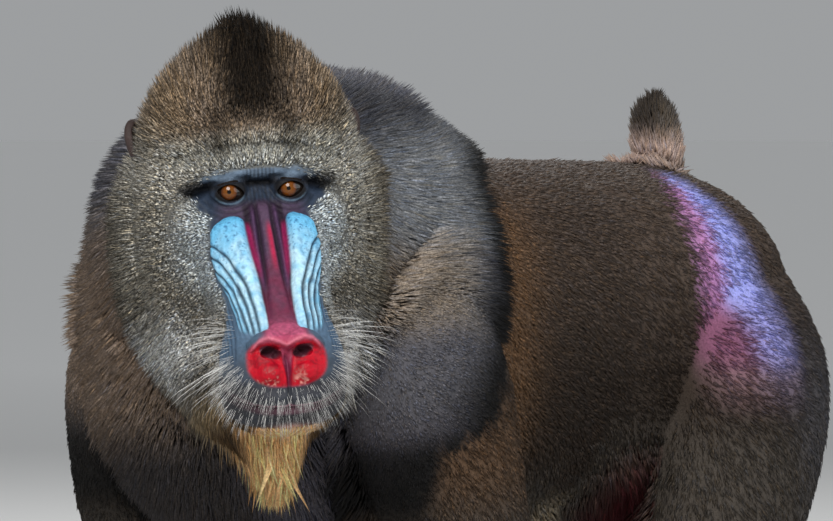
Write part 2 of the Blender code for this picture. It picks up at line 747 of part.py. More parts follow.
def cape_locks(core):
    """The mane over the neck and shoulders, in tiers that lie back and down."""
    made = []
    middles = [Vector(row[0]) for row in CAPE]
    for tier, (middle, reach, count, length) in enumerate(CAPE):
        back = (middles[min(tier + 1, len(CAPE) - 1)] - middles[max(tier - 1, 0)]).normalized()
        side = back.cross(Vector((0, 0, 1))).normalized()
        up = side.cross(back).normalized()
        for k in range(count):
            share = (k + 0.5) / count + 0.25 * (tier % 2) / count
            turn = math.radians(reach) * (2 * share - 1) + COAT.uniform(-0.04, 0.04)
            outward = up * math.cos(turn) + side * math.sin(turn)
            root = surface_towards(core, Vector(middle), outward)
            if root.z < CAPE_LOWEST:
                continue
            lie = back + Vector((0, 0, -0.80)) * abs(math.sin(turn))
            made += lock(core, root, lie, length, CAPE_WIDTH, CAPE_RISE)
    return made


def tail_locks(core):
    """The upright tuft of the short tail."""
    made = []
    for height, count, length, offset in TAIL_TUFT:
        for k in range(count):
            turn = 2 * math.pi * (k + offset) / count
            outward = Vector((math.cos(turn), math.sin(turn), 0))
            root = surface_towards(core, Vector((0, 0.293, height)), outward)
            made += lock(core, root, Vector((0, 0, 1)) - outward * 0.15, length, 0.024, 0.005, cling=0.0)
    return made


def surface_of(obj):
    bm = bmesh.new()
    bm.from_mesh(obj.data)
    core = BVHTree.FromBMesh(bm)
    bm.free()
    return core


def rump_pads():
    """The hard bare pads that the animal sits on, under the root of the tail."""
    return [ball("pad", (side * 0.036, 0.360, 0.476), (0.030, 0.016, 0.038), 2) for side in (1, -1)]


def model_whole():
    """The animal in one piece, its feet cut flat on the floor."""
    limbs = []
    ends = []
    for side, name in ((1, "left"), (-1, "right")):
        limbs.append(limb("arm", ARM, side, STRIDE["arm_" + name]))
        limbs.append(limb("leg", LEG, side, STRIDE["leg_" + name]))
        ends += hand(side, STRIDE["arm_" + name])
        ends += foot(side, STRIDE["leg_" + name])
    trunk = tube("trunk", at_core(TRUNK), 18, 20, (0, 0, 1), squareness=2.2)
    neck = tube("neck", at_core(NECK), 9, 18, (0, 0, 1))
    whole = fuse([trunk, neck, head_form()] + limbs, 0.008, 8, 2300)
    tail = tube("tail", at_core(TAIL), 7, 10, (0, 1, 0))
    core = surface_of(whole)
    locks = ruff_locks(core) + gathered_locks(core, CREST, 1) + gathered_locks(core, BEARD, -1)
    locks += cape_locks(core) + shoulder_locks(core) + tail_locks(surface_of(tail))
    combine(whole, ends + [tail] + rump_pads() + face_forms() + locks, "UNION")
    combine(whole, face_cuts(), "DIFFERENCE")
    return combine(whole, [cell([((0, 0, 0), (0, 0, -1))], 0)], "INTERSECT")


def node_cells():
    """The planes that bound each node, in the order in which the nodes are cut off the whole."""
    back_of_head = (on_head(0, 0.130, 0), head_direction(0, 1, 0))
    under_jaw = (on_head(0, 0.128, -0.120), head_direction(0, 0.80, -0.60))
    cells = [("head", (back_of_head, under_jaw))]
    cells.append(("tail", (((0, 0.285, 0.606), (0, 0, -1)), ((0, 0.245, 0), (0, -1, 0)))))
    front = ((0, 0.06, 0), (0, 1, 0))
    back = ((0, 0.06, 0), (0, -1, 0))
    sides = ((1, "left"), (-1, "right"))
    for side, name in sides:
        own = ((0, 0, 0), (-side, 0, 0))
        elbow = ((0, -0.15, 0.272), (0, 0.25, 1))
        knee = ((0, 0.20, 0.285), (0, -0.45, 1))
        cells.append(("hand_" + name, (front, own, ((0, 0, 0.078), (0, 0, 1)))))
        cells.append(("foot_" + name, (back, own, ((0, 0, 0.084), (0, 0, 1)))))
        cells.append(("forearm_" + name, (front, own, elbow)))
        cells.append(("shank_" + name, (back, own, knee)))
    for side, name in sides:
        own = ((0, 0, 0), (-side, 0, 0))
        armpit = ((side * 0.088, -0.2, 0.33), (-side, 0, 0.25))
        shoulder = ((side * 0.12, -0.2, 0.362), (-side * 0.10, 0, 1))
        hip = ((side * 0.064, 0.2, 0.40), (-side, 0, 0.42))
        thigh_front = ((0, 0.140, 0.44), (0, -1, 0.40))
        cells.append(("upper_arm_" + name, (front, own, armpit, shoulder)))
        cells.append(("thigh_" + name, (thigh_front, own, hip)))
    shoulder_back = ((0, 0.045, 0), (0, 1, 0))
    cells.append(("neck", (shoulder_back, ((0, -0.2, 0.362), (0, 0, -1)))))
    cells.append(("chest", (shoulder_back,)))
    cells.append(("belly", (((0, 0.17, 0), (0, 1, 0)),)))
    return cells


NODE_CELLS = node_cells()


def node_at(point):
    """The node whose cell a point lies in, clear of the gaps between nodes."""
    for name, planes in NODE_CELLS:
        depth = max((Vector(point) - Vector(spot)).dot(Vector(normal).normalized()) for spot, normal in planes)
        if depth < -GAP:
            return name
        if depth < GAP:
            return "gap"
    return "hips"


def part_nodes(whole):
    """Cuts the whole into its nodes, the ends of the limbs first and the hips last."""
    nodes = [part_off(whole, name, planes) for name, planes in NODE_CELLS]
    whole.name = "hips"
    return nodes + [keep_largest(whole)]


def build():
    clear_scene()
    fur = material("coat", (0.17, 0.14, 0.11), 0.85)
    skin = material("bare_skin", (0.18, 0.34, 0.52), 0.5)
    eye_colour = material("eye", (0.45, 0.17, 0.03), 0.1)

    whole = model_whole()
    ears = [ear(1), ear(-1)]
    combine(whole, [grown(item, "ear_room", GAP) for item in ears], "DIFFERENCE")
    eyes = [eyeball("eye_left", 1, EYE_RADIUS), eyeball("eye_right", -1, EYE_RADIUS)]

    for node in part_nodes(whole) + ears + eyes:
        node.data.materials.clear()
        node.data.materials.append(eye_colour if node in eyes else skin if node in ears else fur)
        node.data.transform(Matrix.Translation(-CENTRE))
    for eye in eyes:
        eye.data.shade_smooth()


build()
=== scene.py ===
import math
from types import SimpleNamespace

import bmesh
import bpy
import numpy as np
from mathutils import Matrix, Vector
from mathutils.bvhtree import BVHTree


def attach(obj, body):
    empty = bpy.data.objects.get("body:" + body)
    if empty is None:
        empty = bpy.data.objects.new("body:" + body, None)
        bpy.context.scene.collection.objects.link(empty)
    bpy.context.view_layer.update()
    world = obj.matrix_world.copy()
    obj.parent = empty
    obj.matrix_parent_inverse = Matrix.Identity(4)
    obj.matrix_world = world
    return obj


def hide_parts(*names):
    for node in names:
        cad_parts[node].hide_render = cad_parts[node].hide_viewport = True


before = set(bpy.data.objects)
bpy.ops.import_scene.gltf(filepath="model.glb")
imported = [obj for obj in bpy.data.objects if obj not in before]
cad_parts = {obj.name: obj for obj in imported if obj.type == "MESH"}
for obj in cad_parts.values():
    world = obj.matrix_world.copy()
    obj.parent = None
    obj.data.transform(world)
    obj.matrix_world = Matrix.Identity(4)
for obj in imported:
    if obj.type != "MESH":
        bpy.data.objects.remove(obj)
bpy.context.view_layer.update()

# Everything is modelled with the body facing -Y and is moved by this much when it is finished.
origin = Vector((-0.0055, 0.0559, 0.0))
dice = np.random.default_rng(11)

pose = {
    "eyes": (0.140, -0.410, 0.590),  # midway between the eyes
    "turn": 45.5,
    "roll": -3.5,
    "snoutSlope": 45.5,
}
headPlace = (
    Matrix.Translation(pose["eyes"])
    @ Matrix.Rotation(math.radians(pose["turn"]), 4, "Z")
    @ Matrix.Rotation(math.radians(pose["roll"]), 4, "Y")
)
headTurn = headPlace.to_3x3()
slope = math.radians(pose["snoutSlope"])
snoutAlong = Vector((0, -math.cos(slope), -math.sin(slope)))
snoutUp = Vector((0, -math.sin(slope), math.cos(slope)))


def onHead(x, y, z):
    return headPlace @ Vector((x, y, z))


def headDirection(x, y, z):
    return (headTurn @ Vector((x, y, z))).normalized()


def onSnout(along, up, across):
    local = snoutAlong * along + snoutUp * up
    local.x = across
    return headPlace @ local


def toHead(points):
    return (points - np.array(pose["eyes"])) @ np.array(headTurn)


def smooth(value, low, high):
    t = np.clip((value - low) / (high - low), 0, 1)
    return t * t * (3 - 2 * t)


def fade(value, low, high):
    return 1 - smooth(value, low, high)


def bump(value, middle, width):
    return np.exp(-(((value - middle) / width) ** 2))


def mixed1(first, second, share):
    return first * (1 - share) + second * share


def mixed(first, second, share):
    share = np.asarray(share)[..., None]
    return np.asarray(first) * (1 - share) + np.asarray(second) * share


def layered(made, *layers):
    for tone, share in layers:
        made = mixed(made, tone, share)
    return made


# sRGB 0-255 to linear.
def colour(red, green, blue):
    value = np.array((red, green, blue)) / 255
    return np.where(value <= 0.04045, value / 12.92, ((value + 0.055) / 1.055) ** 2.4)


def shades(tones):
    return SimpleNamespace(**{name: colour(*value) for name, value in tones.items()})


latticeValues = np.random.default_rng(3).random(4096)


# Soft value noise, 0 to 1, with lumps of about the size given.
def speckle(points, size, seed=0):
    place = points / size + seed * 7.31
    cell = np.floor(place).astype(np.int64)
    part = place - cell
    part = part * part * (3 - 2 * part)
    total = np.zeros(len(points))
    for corner in range(8):
        step = np.array((corner & 1, corner >> 1 & 1, corner >> 2 & 1))
        spot = cell + step
        key = (spot[:, 0] * 73856093) ^ (spot[:, 1] * 19349663) ^ (spot[:, 2] * 83492791)
        total += latticeValues[key & 4095] * np.prod(np.where(step, part, 1 - part), axis=1)
    return total


def unit(vectors):
    return vectors / np.maximum(np.linalg.norm(vectors, axis=1, keepdims=True), 1e-9)


def flattened(vectors, normals):
    return unit(vectors - normals * np.sum(vectors * normals, axis=1, keepdims=True))


def columns(*parts):
    return np.stack(np.broadcast_arrays(*parts), 1)


def linked(name, data):
    made = bpy.data.objects.new(name, data)
    bpy.context.scene.collection.objects.link(made)
    return made


def objectFrom(name, bm):
    bmesh.ops.recalc_face_normals(bm, faces=bm.faces)
    mesh = bpy.data.meshes.new(name)
    bm.to_mesh(mesh)
    bm.free()
    return linked(name, mesh)


def smoothRows(rows, count):
    rows = np.array(rows, float)
    ends = np.vstack([2 * rows[0] - rows[1], rows, 2 * rows[-1] - rows[-2]])
    found = []
    for t in np.linspace(0, len(rows) - 1, count):
        i = min(int(t), len(rows) - 2)
        f = t - i
        a, b, c, d = ends[i : i + 4]
        curve = 2 * b + (c - a) * f + (2 * a - 5 * b + 4 * c - d) * f**2 + (3 * b - a - 3 * c + d) * f**3
        found.append(0.5 * curve)
    return np.array(found)


# A closed form swept along rows of x, y, z, half width, reach to the hint side, reach away.
def loft(rows, rings, sides, hint, squareness=2.0):
    rows = smoothRows(rows, rings)
    centres = [Vector(row[:3]) for row in rows]
    bm = bmesh.new()
    rims = []
    for i, row in enumerate(rows):
        along = centres[min(i + 1, rings - 1)] - centres[max(i - 1, 0)]
        side = along.cross(Vector(hint)).normalized()
        up = side.cross(along).normalized()
        rim = bmesh.ops.create_circle(bm, segments=sides, radius=1.0)["verts"]
        for vert in rim:
            across = math.copysign(abs(vert.co.x) ** (2 / squareness), vert.co.x)
            rise = math.copysign(abs(vert.co.y) ** (2 / squareness), vert.co.y)
            reach = row[4] if rise > 0 else row[5]
            vert.co = centres[i] + side * across * row[3] + up * rise * reach
        rims.append(list({edge for vert in rim for edge in vert.link_edges}))
    for near, far in zip(rims, rims[1:]):
        bmesh.ops.bridge_loops(bm, edges=near + far)
    bmesh.ops.contextual_create(bm, geom=rims[0])
    bmesh.ops.contextual_create(bm, geom=rims[-1])
    return objectFrom("form", bm)


def ball(centre, radii, detail=3, turn=None):
    bm = bmesh.new()
    bmesh.ops.create_icosphere(bm, subdivisions=detail, radius=1.0)
    place = Matrix.Translation(Vector(centre)) @ (turn or Matrix.Identity(4)) @ Matrix.Diagonal((*radii, 1))
    bmesh.ops.transform(bm, matrix=place, verts=bm.verts)
    return objectFrom("form", bm)


def applied(piece):
    graph = bpy.context.evaluated_depsgraph_get()
    mesh = bpy.data.meshes.new_from_object(piece.evaluated_get(graph))
    piece.modifiers.clear()
    piece.data = mesh
    return piece


def dropped(pieces):
    for piece in pieces:
        bpy.data.objects.remove(piece, do_unlink=True)


def decimated(piece, share):
    thin = piece.modifiers.new("thin", "DECIMATE")
    thin.ratio = share
    return applied(piece)


# Forms run together into one smooth closed skin.
def fused(name, forms, voxel, passes, share=1.0):
    bm = bmesh.new()
    for form in forms:
        bm.from_mesh(form.data)
    dropped(forms)
    piece = objectFrom(name, bm)
    remesh = piece.modifiers.new("remesh", "REMESH")
    remesh.mode = "VOXEL"
    remesh.voxel_size = voxel
    soften = piece.modifiers.new("soften", "SMOOTH")
    soften.factor = 0.5
    soften.iterations = passes
    applied(piece)
    return decimated(piece, share) if share < 1 else piece


def cutAway(piece, cutters):
    for cutter in cutters:
        step = piece.modifiers.new("cut", "BOOLEAN")
        step.object = cutter
        step.operation = "DIFFERENCE"
        step.solver = "MANIFOLD"
    applied(piece)
    dropped(cutters)
    return piece


def rowsOf(items, key):
    found = np.empty(len(items) * 3, np.float32)
    items.foreach_get(key, found)
    return found.reshape(-1, 3).astype(float)


def pointsOf(mesh):
    return rowsOf(mesh.vertices, "co")


def normalsOf(mesh):
    return rowsOf(mesh.vertex_normals, "vector")


def trianglesOf(mesh):
    mesh.calc_loop_triangles()
    found = np.empty(len(mesh.loop_triangles) * 3, np.int32)
    mesh.loop_triangles.foreach_get("vertices", found)
    return found.reshape(-1, 3)


def movePoints(mesh, points):
    mesh.vertices.foreach_set("co", points.astype(np.float32).ravel())
    mesh.update()


# Keeps a colour or a number at each point, which a material reads by its name.
def paintPoints(mesh, name, values):
    values = np.asarray(values, np.float32)
    if values.ndim == 1:
        mesh.attributes.new(name, "FLOAT", "POINT").data.foreach_set("value", values)
        return
    full = np.ones((len(values), 4), np.float32)
    full[:, :3] = values
    mesh.color_attributes.new(name, "FLOAT_COLOR", "POINT").data.foreach_set("color", full.ravel())


def surfaceOf(piece):
    bm = bmesh.new()
    bm.from_mesh(piece.data)
    tree = BVHTree.FromBMesh(bm)
    bm.free()
    return tree


# Puts a piece in the frame with its material.
def finished(piece, material, replaced=(), flat=False):
    piece.data.transform(Matrix.Translation(origin))
    piece.data.materials.clear()
    piece.data.materials.append(material)
    if not flat:
        piece.data.shade_smooth()
    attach(piece, "root")
    if replaced:
        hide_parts(*replaced)
    print(piece.name, "faces", len(piece.data.polygons))
    return piece


# A socket that adds its Math nodes when it is used in an expression.
class Wire:
    def __init__(self, sheet, socket):
        self.sheet = sheet
        self.socket = socket

    def joined(self, operation, first, second):
        return self.sheet.add("ShaderNodeMath", {"operation": operation}, {0: first, 1: second})

    def __add__(self, other):
        return self.joined("ADD", self, other)

    def __radd__(self, other):
        return self.joined("ADD", other, self)

    def __sub__(self, other):
        return self.joined("SUBTRACT", self, other)

    def __rsub__(self, other):
        return self.joined("SUBTRACT", other, self)

    def __mul__(self, other):
        return self.joined("MULTIPLY", self, other)

    def __rmul__(self, other):
        return self.joined("MULTIPLY", other, self)

    def __truediv__(self, other):
        return self.joined("DIVIDE", self, other)

    def __pow__(self, other):
        return self.joined("POWER", self, other)


# One material's nodes.
class Sheet:
    def __init__(self, name, **constants):
        self.material = bpy.data.materials.new(name)
        self.material.use_nodes = True
        self.tree = self.material.node_tree
        self.shader = self.tree.nodes["Principled BSDF"]
        for socket, value in constants.items():
            self.shader.inputs[socket.replace("_", " ")].default_value = value

    def feed(self, socket, value):
        if isinstance(value, Wire):
            self.tree.links.new(value.socket, socket)
        else:
            socket.default_value = value

    def add(self, kind, settings=None, sockets=None, out=0):
        node = self.tree.nodes.new(kind)
        for key, value in (settings or {}).items():
            if key == "stops":
                ramp = node.color_ramp
                while len(ramp.elements) < len(value):
                    ramp.elements.new(0.5)
                for element, (place, tone) in zip(ramp.elements, value):
                    element.position = place
                    element.color = (*tone, 1) if len(tone) == 3 else tone
            else:
                setattr(node, key, value)
        for key, value in (sockets or {}).items():
            self.feed(node.inputs[key], value)
        return Wire(self, node.outputs[out])

    def place(self):
        return self.add("ShaderNodeTexCoord", out="Object")

    def noise(self, scale, detail=3.0, place=None):
        sockets = {"Vector": place or self.place(), "Scale": scale, "Detail": detail}
        return self.add("ShaderNodeTexNoise", None, sockets, "Fac")

    def tint(self, name, out="Color"):
        return self.add("ShaderNodeAttribute", {"attribute_name": name}, None, out)

    def blend(self, first, second, share, way="MIX"):
        node = self.tree.nodes.new("ShaderNodeMix")
        node.data_type = "RGBA"
        node.blend_type = way
        self.feed(node.inputs[0], share)
        for socket, value in ((node.inputs[6], first), (node.inputs[7], second)):
            self.feed(socket, (*value, 1) if isinstance(value, tuple) and len(value) == 3 else value)
        return Wire(self, node.outputs[2])

    # A colour made lighter or darker by a number.
    def shade(self, tone, amount):
        return self.add("ShaderNodeVectorMath", {"operation": "SCALE"}, {0: tone, "Scale": amount})

    def raised(self, height, distance, strength=1.0):
        sockets = {"Height": height, "Distance": distance, "Strength": strength}
        normal = self.add("ShaderNodeBump", None, sockets, "Normal")
        self.feed(self.shader.inputs["Normal"], normal)

    def into(self, **values):
        for socket, value in values.items():
            self.feed(self.shader.inputs[socket.replace("_", " ")], value)
        return self.material


# Hair whose light and dark bands are as strong as the contrast given.
def coatMaterial(name, contrast):
    sheet = Sheet(name, Roughness=0.65, Specular_IOR_Level=0.12)
    bands = sheet.noise(620.0, 1.0)
    light = (bands - 0.5) * contrast + 1.0
    amount = sheet.add("ShaderNodeMath", {"operation": "MAXIMUM"}, {0: light, 1: 0.12})
    return sheet.into(Base_Color=sheet.shade(sheet.tint("tint"), amount))


def underMaterial():
    sheet = Sheet("under_coat", Roughness=0.8, Specular_IOR_Level=0.15)
    fine = sheet.noise(620.0, 4.0)
    sheet.raised(fine, 0.0012)
    return sheet.into(Base_Color=sheet.shade(sheet.tint("tint"), fine * 1.1 + 0.45))


def faceMaterial():
    sheet = Sheet("bare_skin", Specular_IOR_Level=0.24)
    pores = sheet.noise(1500.0, 3.0)
    folds = sheet.noise(420.0, 3.0)
    sheet.raised(pores * 0.5 + folds, 0.0007, 0.8)
    tone = sheet.shade(sheet.tint("tint"), folds * 0.42 + pores * 0.22 + 0.68)
    return sheet.into(Base_Color=tone, Roughness=sheet.tint("dry", "Fac") + pores * 0.16)


def nailMaterial():
    sheet = Sheet("nail", Roughness=0.38, Specular_IOR_Level=0.5)
    streaks = sheet.noise(700.0)
    return sheet.into(Base_Color=sheet.blend((0.020, 0.016, 0.013), (0.075, 0.060, 0.048), streaks))


body = {
    "skinShare": 0.46,  # how far the skin lies from the real skin towards the coat's tips
    "shortCoat": 0.0028,
    "voxel": 0.0033,
    # x, y, z, half width, reach to the hint side, reach away, depth of the long coat
    "trunk": (
        (0.000, 0.372, 0.505, 0.030, 0.030, 0.035, 0.000),
        (0.000, 0.345, 0.500, 0.085, 0.068, 0.090, 0.000),
        (0.000, 0.275, 0.488, 0.126, 0.107, 0.145, 0.000),
        (0.000, 0.160, 0.480, 0.122, 0.122, 0.158, 0.000),
        (0.000, 0.030, 0.480, 0.122, 0.126, 0.168, 0.004),
        (0.000, -0.035, 0.481, 0.125, 0.133, 0.174, 0.012),
        (0.000, -0.090, 0.485, 0.138, 0.158, 0.182, 0.026),
        (0.004, -0.190, 0.490, 0.158, 0.176, 0.186, 0.046),
        (0.020, -0.270, 0.495, 0.142, 0.160, 0.172, 0.048),
        (0.040, -0.322, 0.500, 0.084, 0.112, 0.112, 0.044),
    ),
    "neck": (
        (0.000, -0.004, 0.540, 0.012, 0.036, 0.040, 0.008),
        (0.000, -0.034, 0.530, 0.052, 0.101, 0.070, 0.020),
        (0.000, -0.070, 0.525, 0.078, 0.132, 0.090, 0.030),
        (0.000, -0.120, 0.515, 0.112, 0.156, 0.110, 0.040),
        (0.004, -0.200, 0.530, 0.140, 0.151, 0.135, 0.048),
        (0.037, -0.281, 0.555, 0.129, 0.128, 0.150, 0.050),
        (0.066, -0.330, 0.572, 0.108, 0.092, 0.142, 0.046),
        (0.095, -0.362, 0.580, 0.076, 0.066, 0.105, 0.030),
    ),
    "arm": (
        (0.095, -0.200, 0.535, 0.040, 0.062, 0.062, 0.000),
        (0.126, -0.208, 0.455, 0.060, 0.084, 0.072, 0.000),
        (0.140, -0.196, 0.375, 0.055, 0.068, 0.068, 0.000),
        (0.142, -0.172, 0.300, 0.045, 0.052, 0.056, 0.000),
        (0.140, -0.180, 0.220, 0.040, 0.046, 0.046, 0.000),
        (0.136, -0.196, 0.140, 0.031, 0.036, 0.035, 0.000),
        (0.134, -0.212, 0.082, 0.024, 0.026, 0.026, 0.000),
        (0.134, -0.228, 0.045, 0.027, 0.020, 0.020, 0.000),
    ),
    "leg": (
        (0.062, 0.268, 0.510, 0.050, 0.080, 0.080, 0.000),
        (0.092, 0.255, 0.435, 0.070, 0.100, 0.100, 0.000),
        (0.112, 0.228, 0.362, 0.064, 0.084, 0.088, 0.000),
        (0.124, 0.190, 0.296, 0.053, 0.062, 0.066, 0.000),
        (0.125, 0.206, 0.235, 0.044, 0.049, 0.052, 0.000),
        (0.121, 0.252, 0.165, 0.033, 0.037, 0.038, 0.000),
        (0.118, 0.296, 0.105, 0.026, 0.028, 0.028, 0.000),
        (0.117, 0.316, 0.055, 0.025, 0.026, 0.024, 0.000),
    ),
    "tail": (
        (0.000, 0.286, 0.550, 0.032, 0.032, 0.032, 0.000),
        (0.000, 0.286, 0.588, 0.026, 0.026, 0.026, 0.010),
        (0.000, 0.284, 0.612, 0.024, 0.024, 0.024, 0.014),
        (0.000, 0.282, 0.630, 0.018, 0.018, 0.018, 0.010),
        (0.000, 0.281, 0.640, 0.005, 0.005, 0.005, 0.003),
    ),
    "tuck": {1: 0.0, -1: 0.018},  # how far the upper arm is drawn in
    "stride": {(1, "arm"): -0.004, (-1, "arm"): -0.030, (1, "leg"): -0.012, (-1, "leg"): 0.022},
}
head = {
    # depth behind the eyes, height over them, half width, reach forward, reach back:
    # at the skin, and at the tips of the coat
    "rows": (
        ((0.060, 0.048, 0.006, 0.006, 0.006), (0.052, 0.126, 0.006, 0.006, 0.006)),
        ((0.060, 0.042, 0.030, 0.028, 0.032), (0.052, 0.110, 0.033, 0.024, 0.030)),
        ((0.062, 0.028, 0.048, 0.045, 0.046), (0.054, 0.083, 0.061, 0.038, 0.048)),
        ((0.062, 0.008, 0.058, 0.052, 0.052), (0.060, 0.050, 0.079, 0.046, 0.060)),
        ((0.060, -0.015, 0.062, 0.052, 0.054), (0.064, 0.010, 0.083, 0.046, 0.064)),
        ((0.055, -0.045, 0.060, 0.050, 0.052), (0.064, -0.045, 0.083, 0.046, 0.066)),
        ((0.050, -0.080, 0.053, 0.052, 0.050), (0.060, -0.097, 0.076, 0.050, 0.066)),
        ((0.045, -0.110, 0.044, 0.050, 0.046), (0.040, -0.140, 0.064, 0.052, 0.062)),
        ((0.040, -0.130, 0.030, 0.036, 0.036), (0.010, -0.175, 0.036, 0.044, 0.044)),
        ((0.038, -0.142, 0.014, 0.018, 0.018), (-0.020, -0.203, 0.018, 0.024, 0.024)),
        ((0.036, -0.147, 0.005, 0.006, 0.006), (-0.040, -0.222, 0.004, 0.004, 0.004)),
    ),
    "faceBack": 0.046,  # the fine front of the head ends this far behind the eyes
    "tuck": 0.0025,  # how far the body's skin lies under that front
}


def thinned(rows, share, less=0.0):
    rows = np.array(rows, float)
    rows[:, 3:6] = np.maximum(rows[:, 3:6] - rows[:, 6:7] * (1 - share) - less, 0.003)
    return rows[:, :6]


def headForm(share, less=0.0):
    rows = []
    for skin, tips in head["rows"]:
        depth, height, width, forward, back = np.array(skin) + (np.array(tips) - np.array(skin)) * share
        sizes = (max(value - less, 0.003) for value in (width, forward, back))
        rows.append((*onHead(0, depth, height), *sizes))
    return loft(rows, 30, 32, headDirection(0, -1, 0), squareness=2.3)


def limbForm(kind, side, share, less):
    rows = body[kind]
    top, end = rows[0][2], rows[-1][2]
    stride = body["stride"][side, kind]
    placed = []
    for x, y, z, width, front, back in thinned(rows, share, less):
        if kind == "arm":
            x -= body["tuck"][side] * np.interp(z, (0.29, 0.43, 0.50), (0.0, 1.0, 0.5))
        placed.append((side * x, y + stride * (top - z) / (top - end), z, width, front, back))
    return loft(placed, 26, 20, (0, -1, 0))


def bodyForms(share, less):
    forms = [
        loft(thinned(body["trunk"], share, less), 34, 32, (0, 0, 1), squareness=2.2),
        loft(thinned(body["neck"], share, less), 30, 32, (0, 0, 1)),
        loft(thinned(body["tail"], share * 0.6, less * 0.4), 16, 16, (0, 1, 0)),
    ]
    for side in (1, -1):
        forms.append(limbForm("arm", side, share, less))
        forms.append(limbForm("leg", side, share, less))
    return forms


# The palms and soles and their digits, measured from the wrist or the heel.
limbEnds = {
    "arm": {
        "at": (0.134, -0.226),
        # forward, height, half width, reach to the hint side, reach away
        "palm": (
            (0.012, 0.072, 0.022, 0.017, 0.017),
            (-0.006, 0.050, 0.029, 0.015, 0.016),
            (-0.030, 0.030, 0.036, 0.013, 0.014),
            (-0.045, 0.020, 0.034, 0.011, 0.012),
        ),
        "rings": 10,
        "hint": (0, -1, 0.4),
        "reach": (0.052, 0.064, 0.066, 0.056),
        "first": 0.026,
        "step": -0.0175,
        "lean": 0.25,
        # share of the lean, way forward, share of the reach, height
        "bends": (
            (0, 0.026, 0, 0.032), (0.3, 0.046, 0, 0.020), (0.7, 0.046, 0.40, 0.0070),
            (1, 0.046, 0.75, 0.0048), (1, 0.046, 1, 0.0036),
        ),
        "thumb": (
            (0.024, 0.004, 0.038), (0.034, 0.012, 0.025), (0.040, 0.022, 0.013),
            (0.043, 0.034, 0.0075), (0.044, 0.042, 0.0060),
        ),
        "thumbRadius": 0.0080,
    },
    "leg": {
        "at": (0.117, 0.330),
        "palm": (
            (0.012, 0.026, 0.010, 0.010, 0.014),
            (0.0, 0.030, 0.023, 0.024, 0.032),
            (-0.035, 0.034, 0.024, 0.030, 0.035),
            (-0.080, 0.026, 0.029, 0.022, 0.028),
            (-0.115, 0.020, 0.036, 0.015, 0.022),
            (-0.128, 0.016, 0.034, 0.010, 0.016),
        ),
        "rings": 14,
        "hint": (0, 0, 1),
        "reach": (0.056, 0.060, 0.055, 0.046),
        "first": -0.022,
        "step": 0.0175,
        "lean": 0.2,
        "bends": (
            (0, 0.108, 0, 0.020), (0.3, 0.122, 0, 0.018), (0.7, 0.122, 0.42, 0.0110),
            (1, 0.122, 0.76, 0.0075), (1, 0.122, 1, 0.0060),
        ),
        "thumb": (
            (0.020, 0.062, 0.022), (0.034, 0.078, 0.018), (0.045, 0.096, 0.0120),
            (0.051, 0.114, 0.0085), (0.053, 0.124, 0.0070),
        ),
        "thumbRadius": 0.0105,
    },
}
digit = {"radius": 0.0088, "taper": (1.0, 1.04, 0.92, 0.86, 0.55), "less": 0.0005}


def endPlace(side, limb):
    x, y = limbEnds[limb]["at"]
    return side * x, y + body["stride"][side, limb]


# The centre lines of the digits of a hand and a foot, with their radii.
def digitLines(side):
    found = []
    for limb, end in limbEnds.items():
        x0, y0 = endPlace(side, limb)
        for k, reach in enumerate(end["reach"]):
            offset = side * (end["first"] + end["step"] * k)
            lean = offset * end["lean"]
            line = [(x0 + offset + lean * a, y0 - b - reach * c, z) for a, b, c, z in end["bends"]]
            found.append((line, digit["radius"]))
        found.append(([(x0 - side * x, y0 - y, z) for x, y, z in end["thumb"]], end["thumbRadius"]))
    return found


def endForms(side):
    forms = []
    for limb, end in limbEnds.items():
        x0, y0 = endPlace(side, limb)
        rows = [(x0, y0 + y, *rest) for y, *rest in end["palm"]]
        forms.append(loft(rows, end["rings"], 20, end["hint"]))
    for line, radius in digitLines(side):
        rows = [(*p, *([radius * t - digit["less"]] * 3)) for p, t in zip(line, digit["taper"])]
        forms.append(loft(rows, 10, 12, (0, 0, 1)))
    return forms


# One skin over the whole body. The front of the head lies over it as a finer piece.
def makeSkin():
    forms = bodyForms(body["skinShare"], body["shortCoat"])
    forms.append(headForm(body["skinShare"], head["tuck"]))
    for side in (1, -1):
        forms += endForms(side)
        forms.append(ball((side * 0.036, 0.360, 0.476), (0.029, 0.015, 0.037)))
    piece = fused("skin", forms, body["voxel"], 6, 0.5)
    points = pointsOf(piece.data)
    points[:, 2] = np.maximum(points[:, 2], 0.0004)  # palms and soles rest on the floor
    movePoints(piece.data, points)
    return piece


